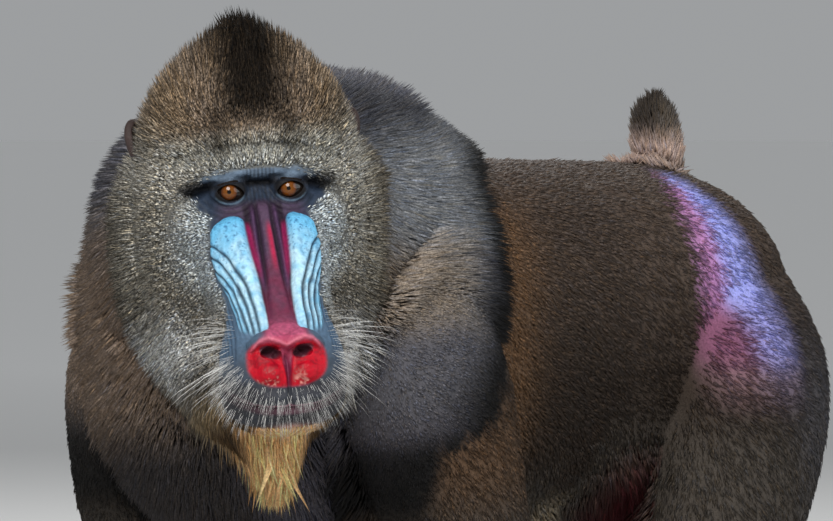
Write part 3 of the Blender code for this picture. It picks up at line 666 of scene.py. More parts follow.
snout = {
    # distance down the snout, half width, top, bottom
    "rows": (
        (-0.030, 0.050, 0.044, 0.052),
        (0.000, 0.048, 0.042, 0.055),
        (0.035, 0.042, 0.040, 0.053),
        (0.070, 0.039, 0.039, 0.047),
        (0.105, 0.041, 0.038, 0.041),
        (0.130, 0.043, 0.036, 0.037),
        (0.147, 0.040, 0.030, 0.033),
        (0.157, 0.030, 0.020, 0.025),
        (0.162, 0.014, 0.010, 0.012),
    ),
    "axisDepth": 0.045,
    "mouthDepth": 0.0385,
    # places on the head with the radii there: cheekbones and the sides of the nose, then its middle
    "sides": (
        ((0.040, 0.024, -0.022), (0.020, 0.021, 0.022)),
        ((0.0128, -0.0775, -0.1135), (0.0146, 0.0155, 0.0155)),
        ((0.0118, -0.0830, -0.1185), (0.0112, 0.0112, 0.0098)),
    ),
    "middle": (
        ((0, -0.0770, -0.0965), (0.0150, 0.0105, 0.0075)),
        ((0, -0.0860, -0.1060), (0.0040, 0.0080, 0.0090)),
    ),
    "noseRim": (
        (-0.0252, -0.0765, -0.1080), (-0.0200, -0.0845, -0.0985), (-0.0100, -0.0890, -0.0955),
        (0.0, -0.0905, -0.0990),
        (0.0100, -0.0890, -0.0955), (0.0200, -0.0845, -0.0985), (0.0252, -0.0765, -0.1080),
    ),
    "nostrils": (
        ((0.0118, -0.0920, -0.1040), (0.0064, 0.0120, 0.0036)),
        ((0.0075, -0.0935, -0.1062), (0.0034, 0.0110, 0.0034)),
    ),
    "nostrilLean": 16,
    "lips": ((0.0062, 0.0062), (-0.0058, 0.0058)),  # height over the mouth, thickness
    "brow": (-0.050, -0.036, -0.018, 0.0, 0.018, 0.036, 0.050),
    "voxel": 0.0009,
    "mostTriangles": 190000,
}
eyes = {
    "radius": 0.0115,
    "cornea": (0.0068, 0.0009),  # its half width, and how far it stands out
    "spacing": 0.041,
    "inset": 0.0085,
    "lid": 0.0021,
    "opening": (0.0094, 0.0057),
    "slant": 9.0,
    # the iris from its middle outwards
    "irisReach": 6.5,
    "iris": (
        (0.0, (0.001, 0.001, 0.001)), (0.190, (0.002, 0.001, 0.001)), (0.245, (0.150, 0.048, 0.003)),
        (0.60, (0.130, 0.036, 0.003)), (0.80, (0.045, 0.012, 0.002)), (0.88, (0.004, 0.003, 0.003)),
        (1.0, (0.012, 0.008, 0.006)),
    ),
    "back": (0.012, 0.008, 0.006),
}
sideNames = {1: "left", -1: "right"}


def eyeCentre(side):
    return onHead(side * eyes["spacing"] / 2, eyes["inset"], 0)


def mouthLine(outset, lift):
    reach, half, corner = 0.161 + outset, 0.0415 + outset, 0.088
    points = []
    for k in range(17):
        angle = math.pi * (k / 16 - 0.5)
        bend = abs(math.cos(angle)) ** 0.55
        across = half * math.copysign(abs(math.sin(angle)) ** 0.6, math.sin(angle))
        points.append(onSnout(corner + (reach - corner) * bend, -snout["mouthDepth"] + lift, across))
    return points


def lipForm(lift, radius):
    rows = []
    points = mouthLine(-0.0035, lift)
    for k, point in enumerate(points):
        size = radius * (0.55 + 0.45 * math.sin(math.pi * k / (len(points) - 1)))
        rows.append((*point, size * 1.1, size, size))
    return loft(rows, 34, 12, headTurn @ snoutUp)


# A round bar through a few points, thinner at its ends.
def bead(points, radius, hint):
    rows = []
    for k, point in enumerate(points):
        size = radius * (0.6 if k in (0, len(points) - 1) else 1)
        rows.append((*point, size, size, size))
    return loft(rows, 24, 14, hint)


# The shape cut out between the lids.
def almondForm(side):
    half, rise = eyes["opening"]
    bm = bmesh.new()
    rim = bmesh.ops.create_circle(bm, segments=32, radius=1.0, cap_ends=True)["verts"]
    for vert in rim:
        x, z = vert.co.x, vert.co.y
        vert.co = (x * half, -0.03, z * rise * (1 - 0.30 * x * x))
    push = bmesh.ops.extrude_face_region(bm, geom=bm.faces[:])
    moved = [item for item in push["geom"] if isinstance(item, bmesh.types.BMVert)]
    bmesh.ops.translate(bm, vec=(0, 0.035, 0), verts=moved)
    lean = Matrix.Rotation(math.radians(-side * eyes["slant"]), 4, "Y")
    place = headPlace @ Matrix.Translation((side * eyes["spacing"] / 2, 0, -0.0002)) @ lean
    bmesh.ops.transform(bm, matrix=place, verts=bm.verts)
    return objectFrom("almond", bm)


# The front of the head, fine enough for its folds.
def makeFace():
    up = headTurn @ snoutUp
    rows = [(*onSnout(a, -snout["axisDepth"], 0), w, t, b) for a, w, t, b in snout["rows"]]
    forms = [headForm(body["skinShare"]), loft(rows, 30, 40, up, squareness=2.7)]
    brow = [
        (*onHead(x, 0.010 + 4.5 * x * x, 0.0170 - 2.2 * x * x), 0.0145, 0.0105, 0.0105)
        for x in snout["brow"]
    ]
    forms.append(loft(brow, 24, 18, headDirection(0, 0, 1)))
    for side in (1, -1):
        for (x, y, z), radii in snout["sides"]:
            forms.append(ball(onHead(side * x, y, z), radii))
        shell = eyes["radius"] + eyes["lid"]
        forms.append(ball(eyeCentre(side), (shell, shell, shell), 4))
    rim = [onHead(*place) for place in snout["noseRim"]]
    forms.append(bead(rim, 0.0050, headDirection(0, -1, 0)))
    forms += [ball(onHead(*place), radii) for place, radii in snout["middle"]]
    forms += [lipForm(lift, radius) for lift, radius in snout["lips"]]
    forms.append(ball(onSnout(0.133, -0.060, 0), (0.026, 0.026, 0.024)))
    piece = fused("face", forms, snout["voxel"], 9)

    bm = bmesh.new()
    bm.from_mesh(piece.data)
    cut = bmesh.ops.bisect_plane(
        bm,
        geom=bm.verts[:] + bm.edges[:] + bm.faces[:],
        plane_co=onHead(0, head["faceBack"], 0),
        plane_no=headDirection(0, 1, 0),
        clear_outer=True,
    )
    rimEdges = [item for item in cut["geom_cut"] if isinstance(item, bmesh.types.BMEdge)]
    bmesh.ops.contextual_create(bm, geom=rimEdges)
    bm.to_mesh(piece.data)
    bm.free()

    cuts = [almondForm(1), almondForm(-1)]
    for side in (1, -1):
        turn = headTurn.to_4x4() @ Matrix.Rotation(math.radians(side * snout["nostrilLean"]), 4, "Y")
        for (x, y, z), radii in snout["nostrils"]:
            cuts.append(ball(onHead(side * x, y, z), radii, turn=turn))
    return cutAway(piece, cuts)


ridge = {
    # along the snout: inner edge from the middle, outer edge measured down the side, height
    "along": (0.013, 0.026, 0.045, 0.062, 0.083, 0.102, 0.120, 0.136),
    "inner": (0.0136, 0.0124, 0.0112, 0.0100, 0.0086, 0.0082, 0.0084, 0.0088),
    "outer": (0.033, 0.0400, 0.0440, 0.0420, 0.0345, 0.0315, 0.0320, 0.034),
    "height": (0.0, 0.0076, 0.0092, 0.0084, 0.0068, 0.0060, 0.0038, 0.0),
    "starts": (0.033, 0.041, 0.051, 0.063, 0.076),
    "targets": (0.34, 0.50, 0.65, 0.79, 0.93),
    "lop": 0.085,  # how much wider the right one is
    "grooveDepth": 0.0026,
    "grooveWidth": 0.00095,
}


# Where each point of the face lies: masks for its folds and its colours.
def faceFields(h):
    x, y, z = h.T
    wide = np.abs(x)
    side = np.sign(x)
    s = h @ np.array(snoutAlong)
    u = h @ np.array(snoutUp)
    rows = np.array(snout["rows"])
    top = np.interp(s, rows[:, 0], rows[:, 2]) - snout["axisDepth"]
    c = wide + np.maximum(0, top - 0.004 - u)  # from the middle, out and then down the side
    drift = speckle(h, 0.018, 1) - 0.5

    lop = 1 - ridge["lop"] * side * fade(s, 0.085, 0.125)
    inner = np.interp(s, ridge["along"], ridge["inner"]) + drift * 0.0008
    outer = np.interp(s, ridge["along"], ridge["outer"]) * lop
    t = (c - inner) / (outer - inner)
    begin = 0.0135 + 0.010 * np.clip(np.abs(t - 0.45) / 0.55, 0, 1.4) ** 2.2
    finish = 0.137 - 0.016 * np.clip(t, 0, 1)
    ends = smooth(s, begin, begin + 0.007) * fade(s, finish - 0.018, finish)
    plateau = smooth(t, -0.05, 0.20) * fade(t, 0.72, 1.10) * ends
    height = np.interp(s, ridge["along"], ridge["height"])
    groove = np.zeros(len(h))
    for start, target in zip(ridge["starts"], ridge["targets"]):
        path = target + (1.03 - target) * np.exp(-np.maximum(s - start, 0) / 0.013)
        path += drift * 0.05 + 0.02 * side
        off = (t - path) * (outer - inner)
        line = bump(off, 0, ridge["grooveWidth"]) * smooth(s, start - 0.001, start + 0.004)
        groove = np.maximum(groove, line * fade(s, 0.116, 0.136))
    sideLines = np.zeros(len(h))
    for shift in (0.0035, 0.0080, 0.0125, 0.0170):
        line = bump(c - outer, shift + drift * 0.003, 0.0010)
        sideLines = np.maximum(sideLines, line * smooth(s, 0.078, 0.092) * fade(s, 0.128, 0.146))

    bridgeHalf = np.interp(
        s, (0.0, 0.03, 0.07, 0.105, 0.12, 0.132), (0.0042, 0.0036, 0.0044, 0.0070, 0.0100, 0.0150)
    )
    onTop = (s > -0.002) & (u > top - 0.02)
    bridge = fade(wide, bridgeHalf * 0.6, bridgeHalf * 1.35) * onTop * smooth(s, 0.000, 0.020)
    foldAt = np.interp(s, (0.0, 0.05, 0.09), (0.0072, 0.0084, 0.0078))
    fold = bump(wide, foldAt, 0.0016) * smooth(s, 0.006, 0.020) * fade(s, 0.075, 0.098) * onTop

    padHalf, padTall, padMiddle = 0.0268, 0.0172, -0.1108
    reach = (np.abs(wide / padHalf) ** 2.5 + np.abs((z - padMiddle) / padTall) ** 2.5) ** 0.4
    pad = fade(reach, 0.93, 1.06) * (s > 0.118) * (y < -0.055)
    philtrum = bump(x, 0, 0.0012) * smooth(-z, 0.105, 0.110) * fade(-z, 0.138, 0.144) * (y < -0.06)
    vee = np.interp(z, (-0.130, -0.122, -0.098), (0.0007, 0.0012, 0.0056))
    vee = fade(wide, vee * 0.75, vee * 1.3) * bump(z, -0.112, 0.014) * (y < -0.06)
    rim = np.interp(wide, (0, 0.005, 0.012, 0.018, 0.024), (-0.1000, -0.0972, -0.0946, -0.0966, -0.1035))
    rim = bump(z, rim, 0.0016) * fade(wide, 0.021, 0.026) * (y < -0.055)
    nostril = np.hypot((wide - 0.0112) / 0.0072, (z + 0.1045 - (wide - 0.0112) * 0.26) / 0.0044)
    nostril = fade(nostril, 0.80, 1.12) * (y < -0.06)

    mouth = bump(u, -snout["mouthDepth"], 0.0009) * smooth(s, 0.086, 0.094)
    lips = bump(u, -snout["mouthDepth"], 0.0062) * smooth(s, 0.100, 0.125)

    ex, ez = wide - eyes["spacing"] / 2, z
    lean = math.radians(eyes["slant"])
    ex, ez = ex * math.cos(lean) - ez * math.sin(lean), ex * math.sin(lean) + ez * math.cos(lean)
    lidReach = np.hypot(ex / eyes["opening"][0], ez / eyes["opening"][1])
    rimReach = np.hypot(ex / 1.30, ez)
    near = (y < 0.012) & (rimReach < 0.03)
    crease = bump(rimReach, 0.0090, 0.0008) * smooth(ez, 0.0, 0.003) * near
    pouch = np.maximum(bump(rimReach, 0.0098, 0.0008), bump(rimReach, 0.0132, 0.0010) * 0.8)
    pouch = np.maximum(pouch, bump(rimReach, 0.0168, 0.0010) * 0.5) * fade(ez, -0.004, 0.0) * near
    browLine = bump(z, 0.0092 - 3.0 * x * x, 0.0013) * smooth(wide, 0.004, 0.009) * fade(wide, 0.046, 0.054)
    browLine = browLine * (y < 0.03)

    # how far the bare skin reaches
    edge = np.interp(
        s,
        (0.0, 0.020, 0.037, 0.061, 0.083, 0.102, 0.118, 0.135, 0.145),
        (0.032, 0.041, 0.0485, 0.0455, 0.0375, 0.043, 0.060, 0.085, 0.105),
    )
    edge = edge * lop + (speckle(h, 0.004, 4) - 0.5) * 0.005
    bareSnout = fade(c, edge - 0.003, edge + 0.005) * smooth(s, 0.004, 0.012)
    bareSnout = bareSnout * smooth(u, -0.0625, -0.0575)
    around = np.hypot((wide - 0.022) / 0.0250, (z + 0.003) / 0.0175) + (speckle(h, 0.004, 14) - 0.5) * 0.2
    bareEyes = fade(around, 0.76, 1.20)
    around = np.abs(wide / 0.037) ** 3 + np.abs((z - 0.0100 + 2.6 * x * x) / 0.0056) ** 2.4
    bareBrow = fade(around, 0.5, 1.35)
    bareMiddle = fade(wide, 0.016, 0.02) * fade(np.abs(z), 0.010, 0.014)
    bare = np.maximum.reduce([bareSnout, bareEyes, bareBrow, bareMiddle]) * (y < 0.034)
    return SimpleNamespace(
        x=x, z=z, wide=wide, s=s, u=u, c=c, t=t, plateau=plateau, height=height, groove=groove,
        sideLines=sideLines, bridge=bridge, fold=fold, pad=pad, philtrum=philtrum, nostril=nostril,
        mouth=mouth, lips=lips, lidReach=lidReach, rimReach=rimReach, crease=crease, pouch=pouch,
        browLine=browLine, bare=bare, near=near, onTop=onTop, vee=vee, rim=rim,
    )


# Raises the ridges and folds out of the smooth face.
def shapeFace(piece):
    furred = np.flatnonzero(faceFields(toHead(pointsOf(piece.data))).bare < 0.25)
    bm = bmesh.new()
    bm.from_mesh(piece.data)
    bm.verts.ensure_lookup_table()
    under = [bm.verts[i] for i in furred if not bm.verts[i].is_boundary]
    for _ in range(30):
        bmesh.ops.smooth_vert(bm, verts=under, factor=0.5, use_axis_x=True, use_axis_y=True, use_axis_z=True)
    bm.to_mesh(piece.data)
    bm.free()
    points = pointsOf(piece.data)
    normals = normalsOf(piece.data)
    field = faceFields(toHead(points))
    lift = field.height * field.plateau - ridge["grooveDepth"] * field.groove * field.plateau
    lift -= 0.0006 * field.sideLines
    lift += 0.0040 * field.bridge * fade(field.s, 0.118, 0.132) + 0.0021 * field.fold
    lobe = np.hypot((field.wide - 0.0128) / 0.0125, (field.z + 0.1180) / 0.0105)
    lift += 0.0032 * fade(lobe, 0.2, 1.0) * field.pad
    lift -= 0.0026 * field.philtrum + 0.0024 * field.mouth + 0.0016 * field.vee
    lift += 0.0014 * field.rim
    lift -= 0.0009 * field.crease + 0.0009 * field.pouch + 0.0022 * field.browLine
    lift += (speckle(points, 0.0035, 6) - 0.5) * 0.0005 * field.bare
    movePoints(piece.data, points + normals * lift[:, None])
    return field


# Of these tones, the grooves' and troughs' dark ones are painted shade, the lids' dark one also paints shade
# in creases, the brow's dark one is partly painted shadow, and the rim's is a painted highlight.
faceTones = {
    "brow": (110, 128, 148), "browDark": (18, 18, 22), "socket": (44, 56, 74),
    "underEye": (76, 54, 76), "lidRim": (112, 136, 154), "lidEdge": (16, 13, 16),
    "blueTop": (96, 180, 224), "bluePale": (180, 218, 236), "blueLow": (128, 178, 208),
    "blueDeep": (30, 78, 124), "grooveDark": (20, 32, 52), "magenta": (134, 20, 74),
    "bridgeTop": (78, 58, 80), "crimson": (176, 22, 66), "maroon": (104, 38, 64),
    "trough": (30, 18, 32), "fold": (74, 50, 80), "noseTop": (170, 76, 108),
    "red": (184, 0, 30), "redDark": (120, 0, 22),
    "rim": (214, 120, 140), "scuff": (226, 150, 140), "nostril": (84, 44, 56),
    "muzzle": (78, 102, 126), "muzzleDark": (52, 56, 64), "lip": (138, 88, 106),
    "lipDark": (40, 38, 42), "chinPink": (206, 146, 126),
}


# The bare face's colours, from its masks, with painted shade in its grooves and creases,
# a painted shadow under the brow and a painted highlight along the nose's rim.
def faceColours(points, field):
    tone = shades(faceTones)
    f = field
    s, z, wide, t = f.s, f.z, f.wide, f.t
    fine = speckle(points, 0.0014, 2)
    patchy = speckle(points, 0.0045, 3)
    broad = speckle(points, 0.014, 5)

    made = mixed(tone.socket, tone.brow, smooth(z, 0.0070, 0.0105) * (0.65 + 0.6 * patchy))
    made = layered(
        made,
        (tone.underEye, smooth(-z, 0.004, 0.012) * smooth(0.036 - wide, 0.0, 0.014) * 0.7),
        (tone.lidRim, 0.75 * bump(f.rimReach, 0.0079, 0.0007) * f.near * smooth(-z, 0.002, 0.004)),
        (tone.lidEdge, fade(f.lidReach, 1.02, 1.32) * f.near),
        # painted shade in the folds under the eyes
        (tone.lidEdge, 0.45 * f.pouch),
    )
    lines = 0.5 + 0.5 * np.cos(f.x * 2 * math.pi / 0.0026 + 5 * broad)
    made = layered(
        made,
        (tone.browDark, 0.55 * lines * fade(wide, 0.008, 0.014) * smooth(z, -0.014, -0.006)),
        # a dark line under the brow over the upper lids: partly the brow's dark hair, partly painted shadow
        # cast by the brow
        (tone.browDark, 0.95 * bump(z, 0.0055 - 1.5 * f.x**2, 0.0033)),
    )

    side = mixed(tone.muzzle, tone.muzzleDark, smooth(s, 0.118, 0.145) * 0.8 + smooth(-f.u, 0.02, 0.04) * 0.3)
    # painted shade in the grooves along the muzzle's side
    side = mixed(side, tone.grooveDark, f.sideLines * 0.6)
    onSnoutMask = smooth(s, 0.016, 0.026) * smooth(wide, 0.012, 0.016)
    made = mixed(made, side, onSnoutMask * smooth(s, 0.045, 0.075))

    top = mixed(tone.bridgeTop, tone.maroon, smooth(s, 0.050, 0.075) * (0.55 + 0.5 * patchy))
    top = layered(
        top,
        (tone.crimson, 0.85 * smooth(s, 0.024, 0.038) * fade(s, 0.056, 0.076) * bump(f.x, 0.0016, 0.0018)),
        (tone.noseTop, smooth(s, 0.110, 0.126) * (0.6 + 0.5 * fine)),
    )
    middle = smooth(s, 0.002, 0.012) * fade(wide, 0.0125, 0.0150) * f.onTop
    middle = np.maximum(middle, smooth(s, 0.100, 0.112) * f.onTop * fade(wide, 0.010, 0.020))
    # painted shade in the troughs beside the nose's bridge, with the folds' own colour on the folds
    trough = mixed(tone.trough, tone.fold, f.fold)
    along = smooth(s, 0.022, 0.034) * fade(s, 0.060, 0.085)
    trough = layered(
        trough,
        (tone.magenta, smooth(wide, 0.0098, 0.0116) * along * 0.85),
        (tone.maroon, smooth(s, 0.075, 0.100) * 0.7),
    )
    made = mixed(made, mixed(trough, top, np.clip(f.bridge * 1.3, 0, 1)), middle)

    blue = mixed(tone.blueTop, tone.bluePale, np.clip(smooth(s, 0.018, 0.070) * (0.35 + 1.0 * patchy), 0, 1))
    blue = layered(
        blue,
        (tone.blueLow, smooth(s, 0.105, 0.130) * 0.8),
        (tone.blueTop, 0.5 * smooth(t, 0.35, 0.9)),
        (tone.blueDeep, 0.75 * smooth(fine, 0.66, 0.84) * fade(s, 0.045, 0.075)),
        (tone.blueDeep, 0.75 * smooth(t, 0.78, 1.02)),
    )
    strokes = speckle(np.stack([f.c * 3.2, s, z * 0], 1), 0.0042, 12)
    blue = layered(
        blue,
        (tone.blueDeep, 0.45 * smooth(strokes, 0.62, 0.82) * smooth(f.c, 0.012, 0.020)),
        # painted shade in the grooves between the ridges
        (tone.grooveDark, np.clip(f.groove * 1.1, 0, 1) * 0.9),
    )
    made = layered(
        made,
        (blue, smooth(f.plateau, 0.25, 0.60)),
        (tone.magenta, 0.85 * bump(t, -0.01, 0.05) * along),
    )

    red = mixed(tone.red, tone.redDark, smooth(patchy * 0.5 + fine * 0.6, 0.45, 0.75) * 0.75)
    red = mixed(red, tone.noseTop, smooth(z, -0.1005, -0.0945) * 0.75)
    scuffs = smooth(fine * 0.5 + patchy * 0.6, 0.62, 0.78) * smooth(-z, 0.114, 0.125)
    scuffs = scuffs * smooth(wide, 0.002, 0.006)
    red = layered(
        red,
        (tone.scuff, scuffs * 0.85),
        (mixed(tone.maroon, tone.noseTop, smooth(z, -0.115, -0.098) * 0.7), f.vee * 0.9),
        (tone.maroon, f.philtrum * 0.8),
    )
    made = layered(
        made,
        (red, f.pad),
        # a painted highlight along the nose's rim over the nostrils
        (tone.rim, f.rim * 0.6),
        (tone.nostril, f.nostril),
    )

    below = smooth(-f.u, snout["mouthDepth"], snout["mouthDepth"] + 0.002) * smooth(s, 0.10, 0.12)
    lipTone = mixed(tone.lipDark, tone.lip, bump(f.x, 0, 0.024) * (0.9 - 0.5 * below))
    beyond = (1 - f.pad) * smooth(s, 0.128, 0.138)
    made = layered(
        made,
        (mixed(tone.muzzleDark, tone.lipDark, broad), beyond * smooth(-z, 0.118, 0.130)),
        (lipTone, smooth(f.lips, 0.35, 0.75) * beyond),
        # painted shade in the slit of the mouth
        (tone.lidEdge, f.mouth * 0.9),
    )
    pink = bump(f.x, 0.002, 0.010) * bump(f.u, -0.060, 0.0040) * (s > 0.12)
    made = mixed(made, tone.chinPink, pink * 0.9)
    return made * (0.82 + 0.36 * fine)[:, None]


coatTones = {
    "crown": (16, 11, 6), "crownBrown": (86, 72, 55), "crownSide": (112, 96, 77),
    "forehead": (108, 94, 80), "cream": (142, 141, 133), "temple": (176, 172, 162),
    "edge": (86, 77, 62), "cheekOut": (142, 137, 126), "cheekGrey": (180, 188, 192),
    "cheekDark": (106, 101, 91), "cheekWhite": (226, 228, 228), "jaw": (166, 146, 114),
    "beard": (252, 200, 142), "beardDark": (84, 66, 46), "nape": (62, 54, 44),
    "hump": (66, 66, 71), "silver": (140, 142, 146), "slate": (98, 97, 103),
    "slateDark": (86, 83, 90), "farDark": (64, 60, 60),
    "capeBrown": (146, 134, 122), "maneBrown": (128, 110, 96), "capeBlack": (20, 19, 18),
    "rust": (132, 100, 72), "browEnd": (50, 48, 50),
    "body": (88, 75, 66), "bodyDark": (38, 30, 24), "thigh": (82, 80, 84),
    "belly": (150, 138, 118), "limb": (72, 66, 60), "handSkin": (40, 34, 32),
    "tailPale": (108, 100, 91), "tailDark": (58, 52, 47), "tailPink": (206, 180, 168),
    "lilac": (190, 134, 186), "violet": (166, 172, 244), "rumpRed": (116, 68, 84),
    "rumpGrey": (126, 104, 104),
    "groin": (84, 8, 18), "groinHair": (58, 6, 14), "padPink": (178, 124, 130),
}


# Masks for the regions of the body.
def bodyZones(p):
    x, y, z = p.T
    h = toHead(p)
    hx, hy, hz = h.T
    back = np.maximum(hy - 0.120, (hy - 0.128) * 0.80 - (hz + 0.120) * 0.60)
    halfWidth = np.interp(
        hz, (-0.222, -0.203, -0.175, -0.140, -0.097, -0.045, 0.010, 0.050),
        (0.018, 0.036, 0.052, 0.066, 0.076, 0.084, 0.087, 0.102),
    )
    beyond = np.abs(hx) - halfWidth
    headMask = fade(back, -0.014, 0.006) * fade(beyond, -0.003, 0.005)
    furrow = fade(beyond, 0.010, 0.034) * fade(back, 0.02, 0.05) * (1 - headMask)
    drift = (speckle(p, 0.05, 8) - 0.5) * 0.05
    side = np.interp(
        z, (0.400, 0.420, 0.440, 0.459, 0.483, 0.511, 0.559, 0.584, 0.608),
        (-0.250, -0.203, -0.194, -0.175, -0.140, -0.128, -0.122, -0.126, -0.104),
    )
    capeEnd = mixed1(0.004, side, smooth(np.abs(x), 0.0, 0.105))
    cape = fade(y + drift * 0.2, capeEnd - 0.007, capeEnd + 0.007) * (1 - headMask) * smooth(z, 0.31, 0.37)
    arm = fade(z, 0.33, 0.40) * (y < 0.02)
    leg = fade(z, 0.36, 0.43) * (y > 0.05)
    tail = smooth(z, 0.574, 0.590) * fade(np.hypot(x, y - 0.285), 0.028, 0.034)
    first = np.interp(
        z, (0.447, 0.478, 0.510, 0.545, 0.581, 0.597), (0.169, 0.171, 0.173, 0.177, 0.192, 0.208)
    )
    last = np.interp(z, (0.448, 0.500, 0.545, 0.581, 0.597), (0.232, 0.236, 0.230, 0.222, 0.230))
    band = (y + drift * 0.15 - first) / (last - first)
    rump = smooth(band, -0.22, 0.16) * smooth(z, 0.395, 0.450) * fade(z, 0.575, 0.600) * (1 - tail)
    rump = rump * smooth(np.abs(x), 0.030, 0.060) * fade(band, 0.75, 1.40)
    ring = np.hypot(x / 0.100, (z - 0.484) / 0.082)
    behind = smooth(y, 0.300, 0.330) * fade(ring + drift * 3, 0.72, 1.02)
    rump = np.maximum(rump, behind)
    pads = np.hypot((np.abs(x) - 0.036) / 0.029, (z - 0.476) / 0.037)
    pads = fade(pads, 0.86, 1.02) * smooth(y, 0.340, 0.350)
    hand = fade(z, 0.045, 0.080)
    return SimpleNamespace(
        x=x, y=y, z=z, hx=hx, hy=hy, hz=hz, head=headMask, cape=cape, capeEnd=capeEnd, arm=arm, leg=leg,
        tail=tail, rump=rump, hand=hand, drift=drift, band=band, pads=pads, furrow=furrow,
        ring=np.where(y > 0.31, ring, 2.0),
    )


# The coat's markings at any place, for the skin and for every tuft, with painted shade low on
# the body and on the lower cheek of the head's +x side.
def coatColours(g):
    tone = shades(coatTones)
    x, y, z, hx, hy, hz = g.x, g.y, g.z, g.hx, g.hy, g.hz
    wide = np.abs(hx)
    wobble = g.drift

    # head
    near = np.hypot(hx / 0.079, (hz + 0.036) / 0.088)
    made = mixed(tone.cheekOut, tone.edge, smooth(near, 0.86, 1.16))
    near = np.hypot(hx / 0.060, (hz + 0.032) / 0.056)
    made = layered(
        made,
        (tone.cheekGrey, fade(near, 0.70, 1.20)),
        (tone.cheekDark, 0.8 * bump(wide, 0.054, 0.014) * bump(hz, -0.080, 0.017)),
        (tone.jaw, smooth(-hz, 0.128, 0.146)),
        (tone.cheekWhite, bump(hz, -0.108, 0.022) * bump(wide, 0.064, 0.016)),
    )
    # painted shade on the lower cheek of the head's +x side
    shadedSide = smooth(hx, 0.030, 0.060) * smooth(-hz, 0.050, 0.075)
    made = mixed(made, tone.edge, shadedSide * 0.45)
    crown = smooth(hz + wobble * 0.2, 0.026, 0.046)
    made = layered(
        made,
        (mixed(tone.forehead, tone.crownSide, smooth(wide, 0.030, 0.050)), crown),
        (tone.crownBrown, smooth(hz, 0.060, 0.085)),
        (tone.temple, bump(wide, 0.061, 0.016) * bump(hz, 0.010, 0.022) * 0.9),
        (tone.cream, bump(hz, 0.0215, 0.0085) * fade(wide, 0.046, 0.062) * (hy < 0.05) * 0.9),
    )
    strip = fade(wide + wobble * 0.2, 0.008, 0.038) * smooth(hz, 0.036, 0.058)
    horns = bump(wide, 0.0225, 0.0075) * smooth(hz, 0.012, 0.026) * fade(hz, 0.048, 0.066)
    strip = np.maximum(strip, 0.66 * horns)
    made = mixed(made, tone.crown, strip * 0.96)
    ends = np.hypot((wide - 0.041) / 0.0125, (hz - 0.003) / 0.0070)
    made = mixed(made, tone.browEnd, fade(ends, 0.5, 1.3) * (hy < 0.045) * 0.9)
    beardMask = smooth(-hz, 0.136, 0.150)
    darker = np.maximum(smooth(wide, 0.014, 0.030), smooth(-hz, 0.180, 0.215) * 0.75)
    made = mixed(made, mixed(tone.beard, tone.beardDark, darker), beardMask)
    headTone = mixed(made, tone.nape, smooth(hy, 0.090, 0.118) * 0.6)

    # body
    # darker towards the bottom of the body: painted shade on its lower side
    made = mixed(tone.body, tone.bodyDark, smooth(0.50 - z, -0.05, 0.09) * 0.8)
    made = mixed(made, tone.belly, fade(z, 0.335, 0.365) * fade(np.abs(x), 0.05, 0.09) * 0.7)
    rust = bump(y, np.maximum(g.capeEnd, -0.135) + 0.044, 0.040) * fade(z, 0.55, 0.595)
    rust = np.maximum(rust, 0.4 * smooth(-y, 0.12, 0.16) * fade(z, 0.42, 0.46)) * smooth(z, 0.31, 0.37)
    made = layered(
        made,
        (tone.rust, rust * 0.80),
        (tone.limb, np.maximum(g.arm, g.leg)),
        (tone.thigh, smooth(y, 0.20, 0.27) * bump(z, 0.40, 0.07) * 0.8),
    )
    cape = mixed(tone.silver, tone.hump, smooth(z + wobble * 0.3, 0.600, 0.635))
    brown = mixed1(1.0, smooth(-y, 0.165, 0.225), smooth(x, 0.0, 0.06))
    low = smooth(0.565 - z + wobble * 0.4, 0.0, 0.03)
    cape = layered(
        cape,
        (tone.slate, low * (1 - brown)),
        (tone.capeBrown, low * brown),
        (tone.slate, smooth(0.508 - z + wobble * 0.4, 0.0, 0.03) * smooth(x, 0.05, 0.08)),
    )
    far = smooth(0.06 - x, 0.0, 0.03)
    cape = layered(
        cape,
        (tone.slate, far * np.maximum(smooth(z, 0.555, 0.590), smooth(y, -0.24, -0.18))),
        (tone.maneBrown, smooth(-y, 0.22, 0.30) * far * fade(z, 0.560, 0.590) * 0.8),
    )
    low = mixed(tone.slateDark, tone.farDark, far)
    cape = mixed(cape, low, smooth(0.450 - z + wobble * 0.3, 0.0, 0.05))
    trail = smooth(y, g.capeEnd - 0.095, g.capeEnd - 0.012)
    cape = mixed(cape, tone.capeBlack, trail**1.6 * 0.97)
    made = mixed(made, cape, g.cape)
    tailTone = mixed(tone.tailDark, tone.tailPale, smooth(np.abs(x), 0.003, 0.018))
    tailTone = mixed(tailTone, tone.tailPink, bump(z, 0.594, 0.012) * 0.7)
    made = layered(
        made,
        (tailTone, g.tail),
        (rumpShade(g), g.rump * 0.85),
        (tone.groinHair, groinMask(g) * 0.96),
    )
    return mixed(made, headTone, g.head)


def groinMask(g):
    inward = smooth(g.y, 0.070, 0.105) * fade(g.y, 0.175, 0.205) * fade(np.abs(g.x), 0.084, 0.100)
    return inward * fade(g.z, 0.365, 0.400) * smooth(g.z, 0.26, 0.30)


def rumpShade(g):
    tone = shades(coatTones)
    shade = mixed(tone.lilac, tone.violet, smooth(g.band, 0.25, 0.60))
    red = smooth(0.506 - g.z, 0.0, 0.036) * (1 - smooth(g.band, 0.35, 0.85) * 0.7)
    shade = layered(
        shade,
        (tone.rumpRed, red * 0.85),
        (tone.padPink, fade(g.ring, 0.20, 0.62) * 0.7),
    )
    return mixed(shade, tone.rumpGrey, smooth(0.455 - g.z, 0.0, 0.030) * 0.8)


# The bare skin of the rump, palms and soles.
def rumpColours(g, made):
    tone = shades(coatTones)
    made = layered(
        made,
        (rumpShade(g), g.rump),
        (tone.groin, groinMask(g)),
        (tone.padPink, g.pads),
        (tone.tailPink, bump(g.z, 0.590, 0.014) * (g.y > 0.25)),
    )
    return mixed(made, tone.handSkin, g.hand)


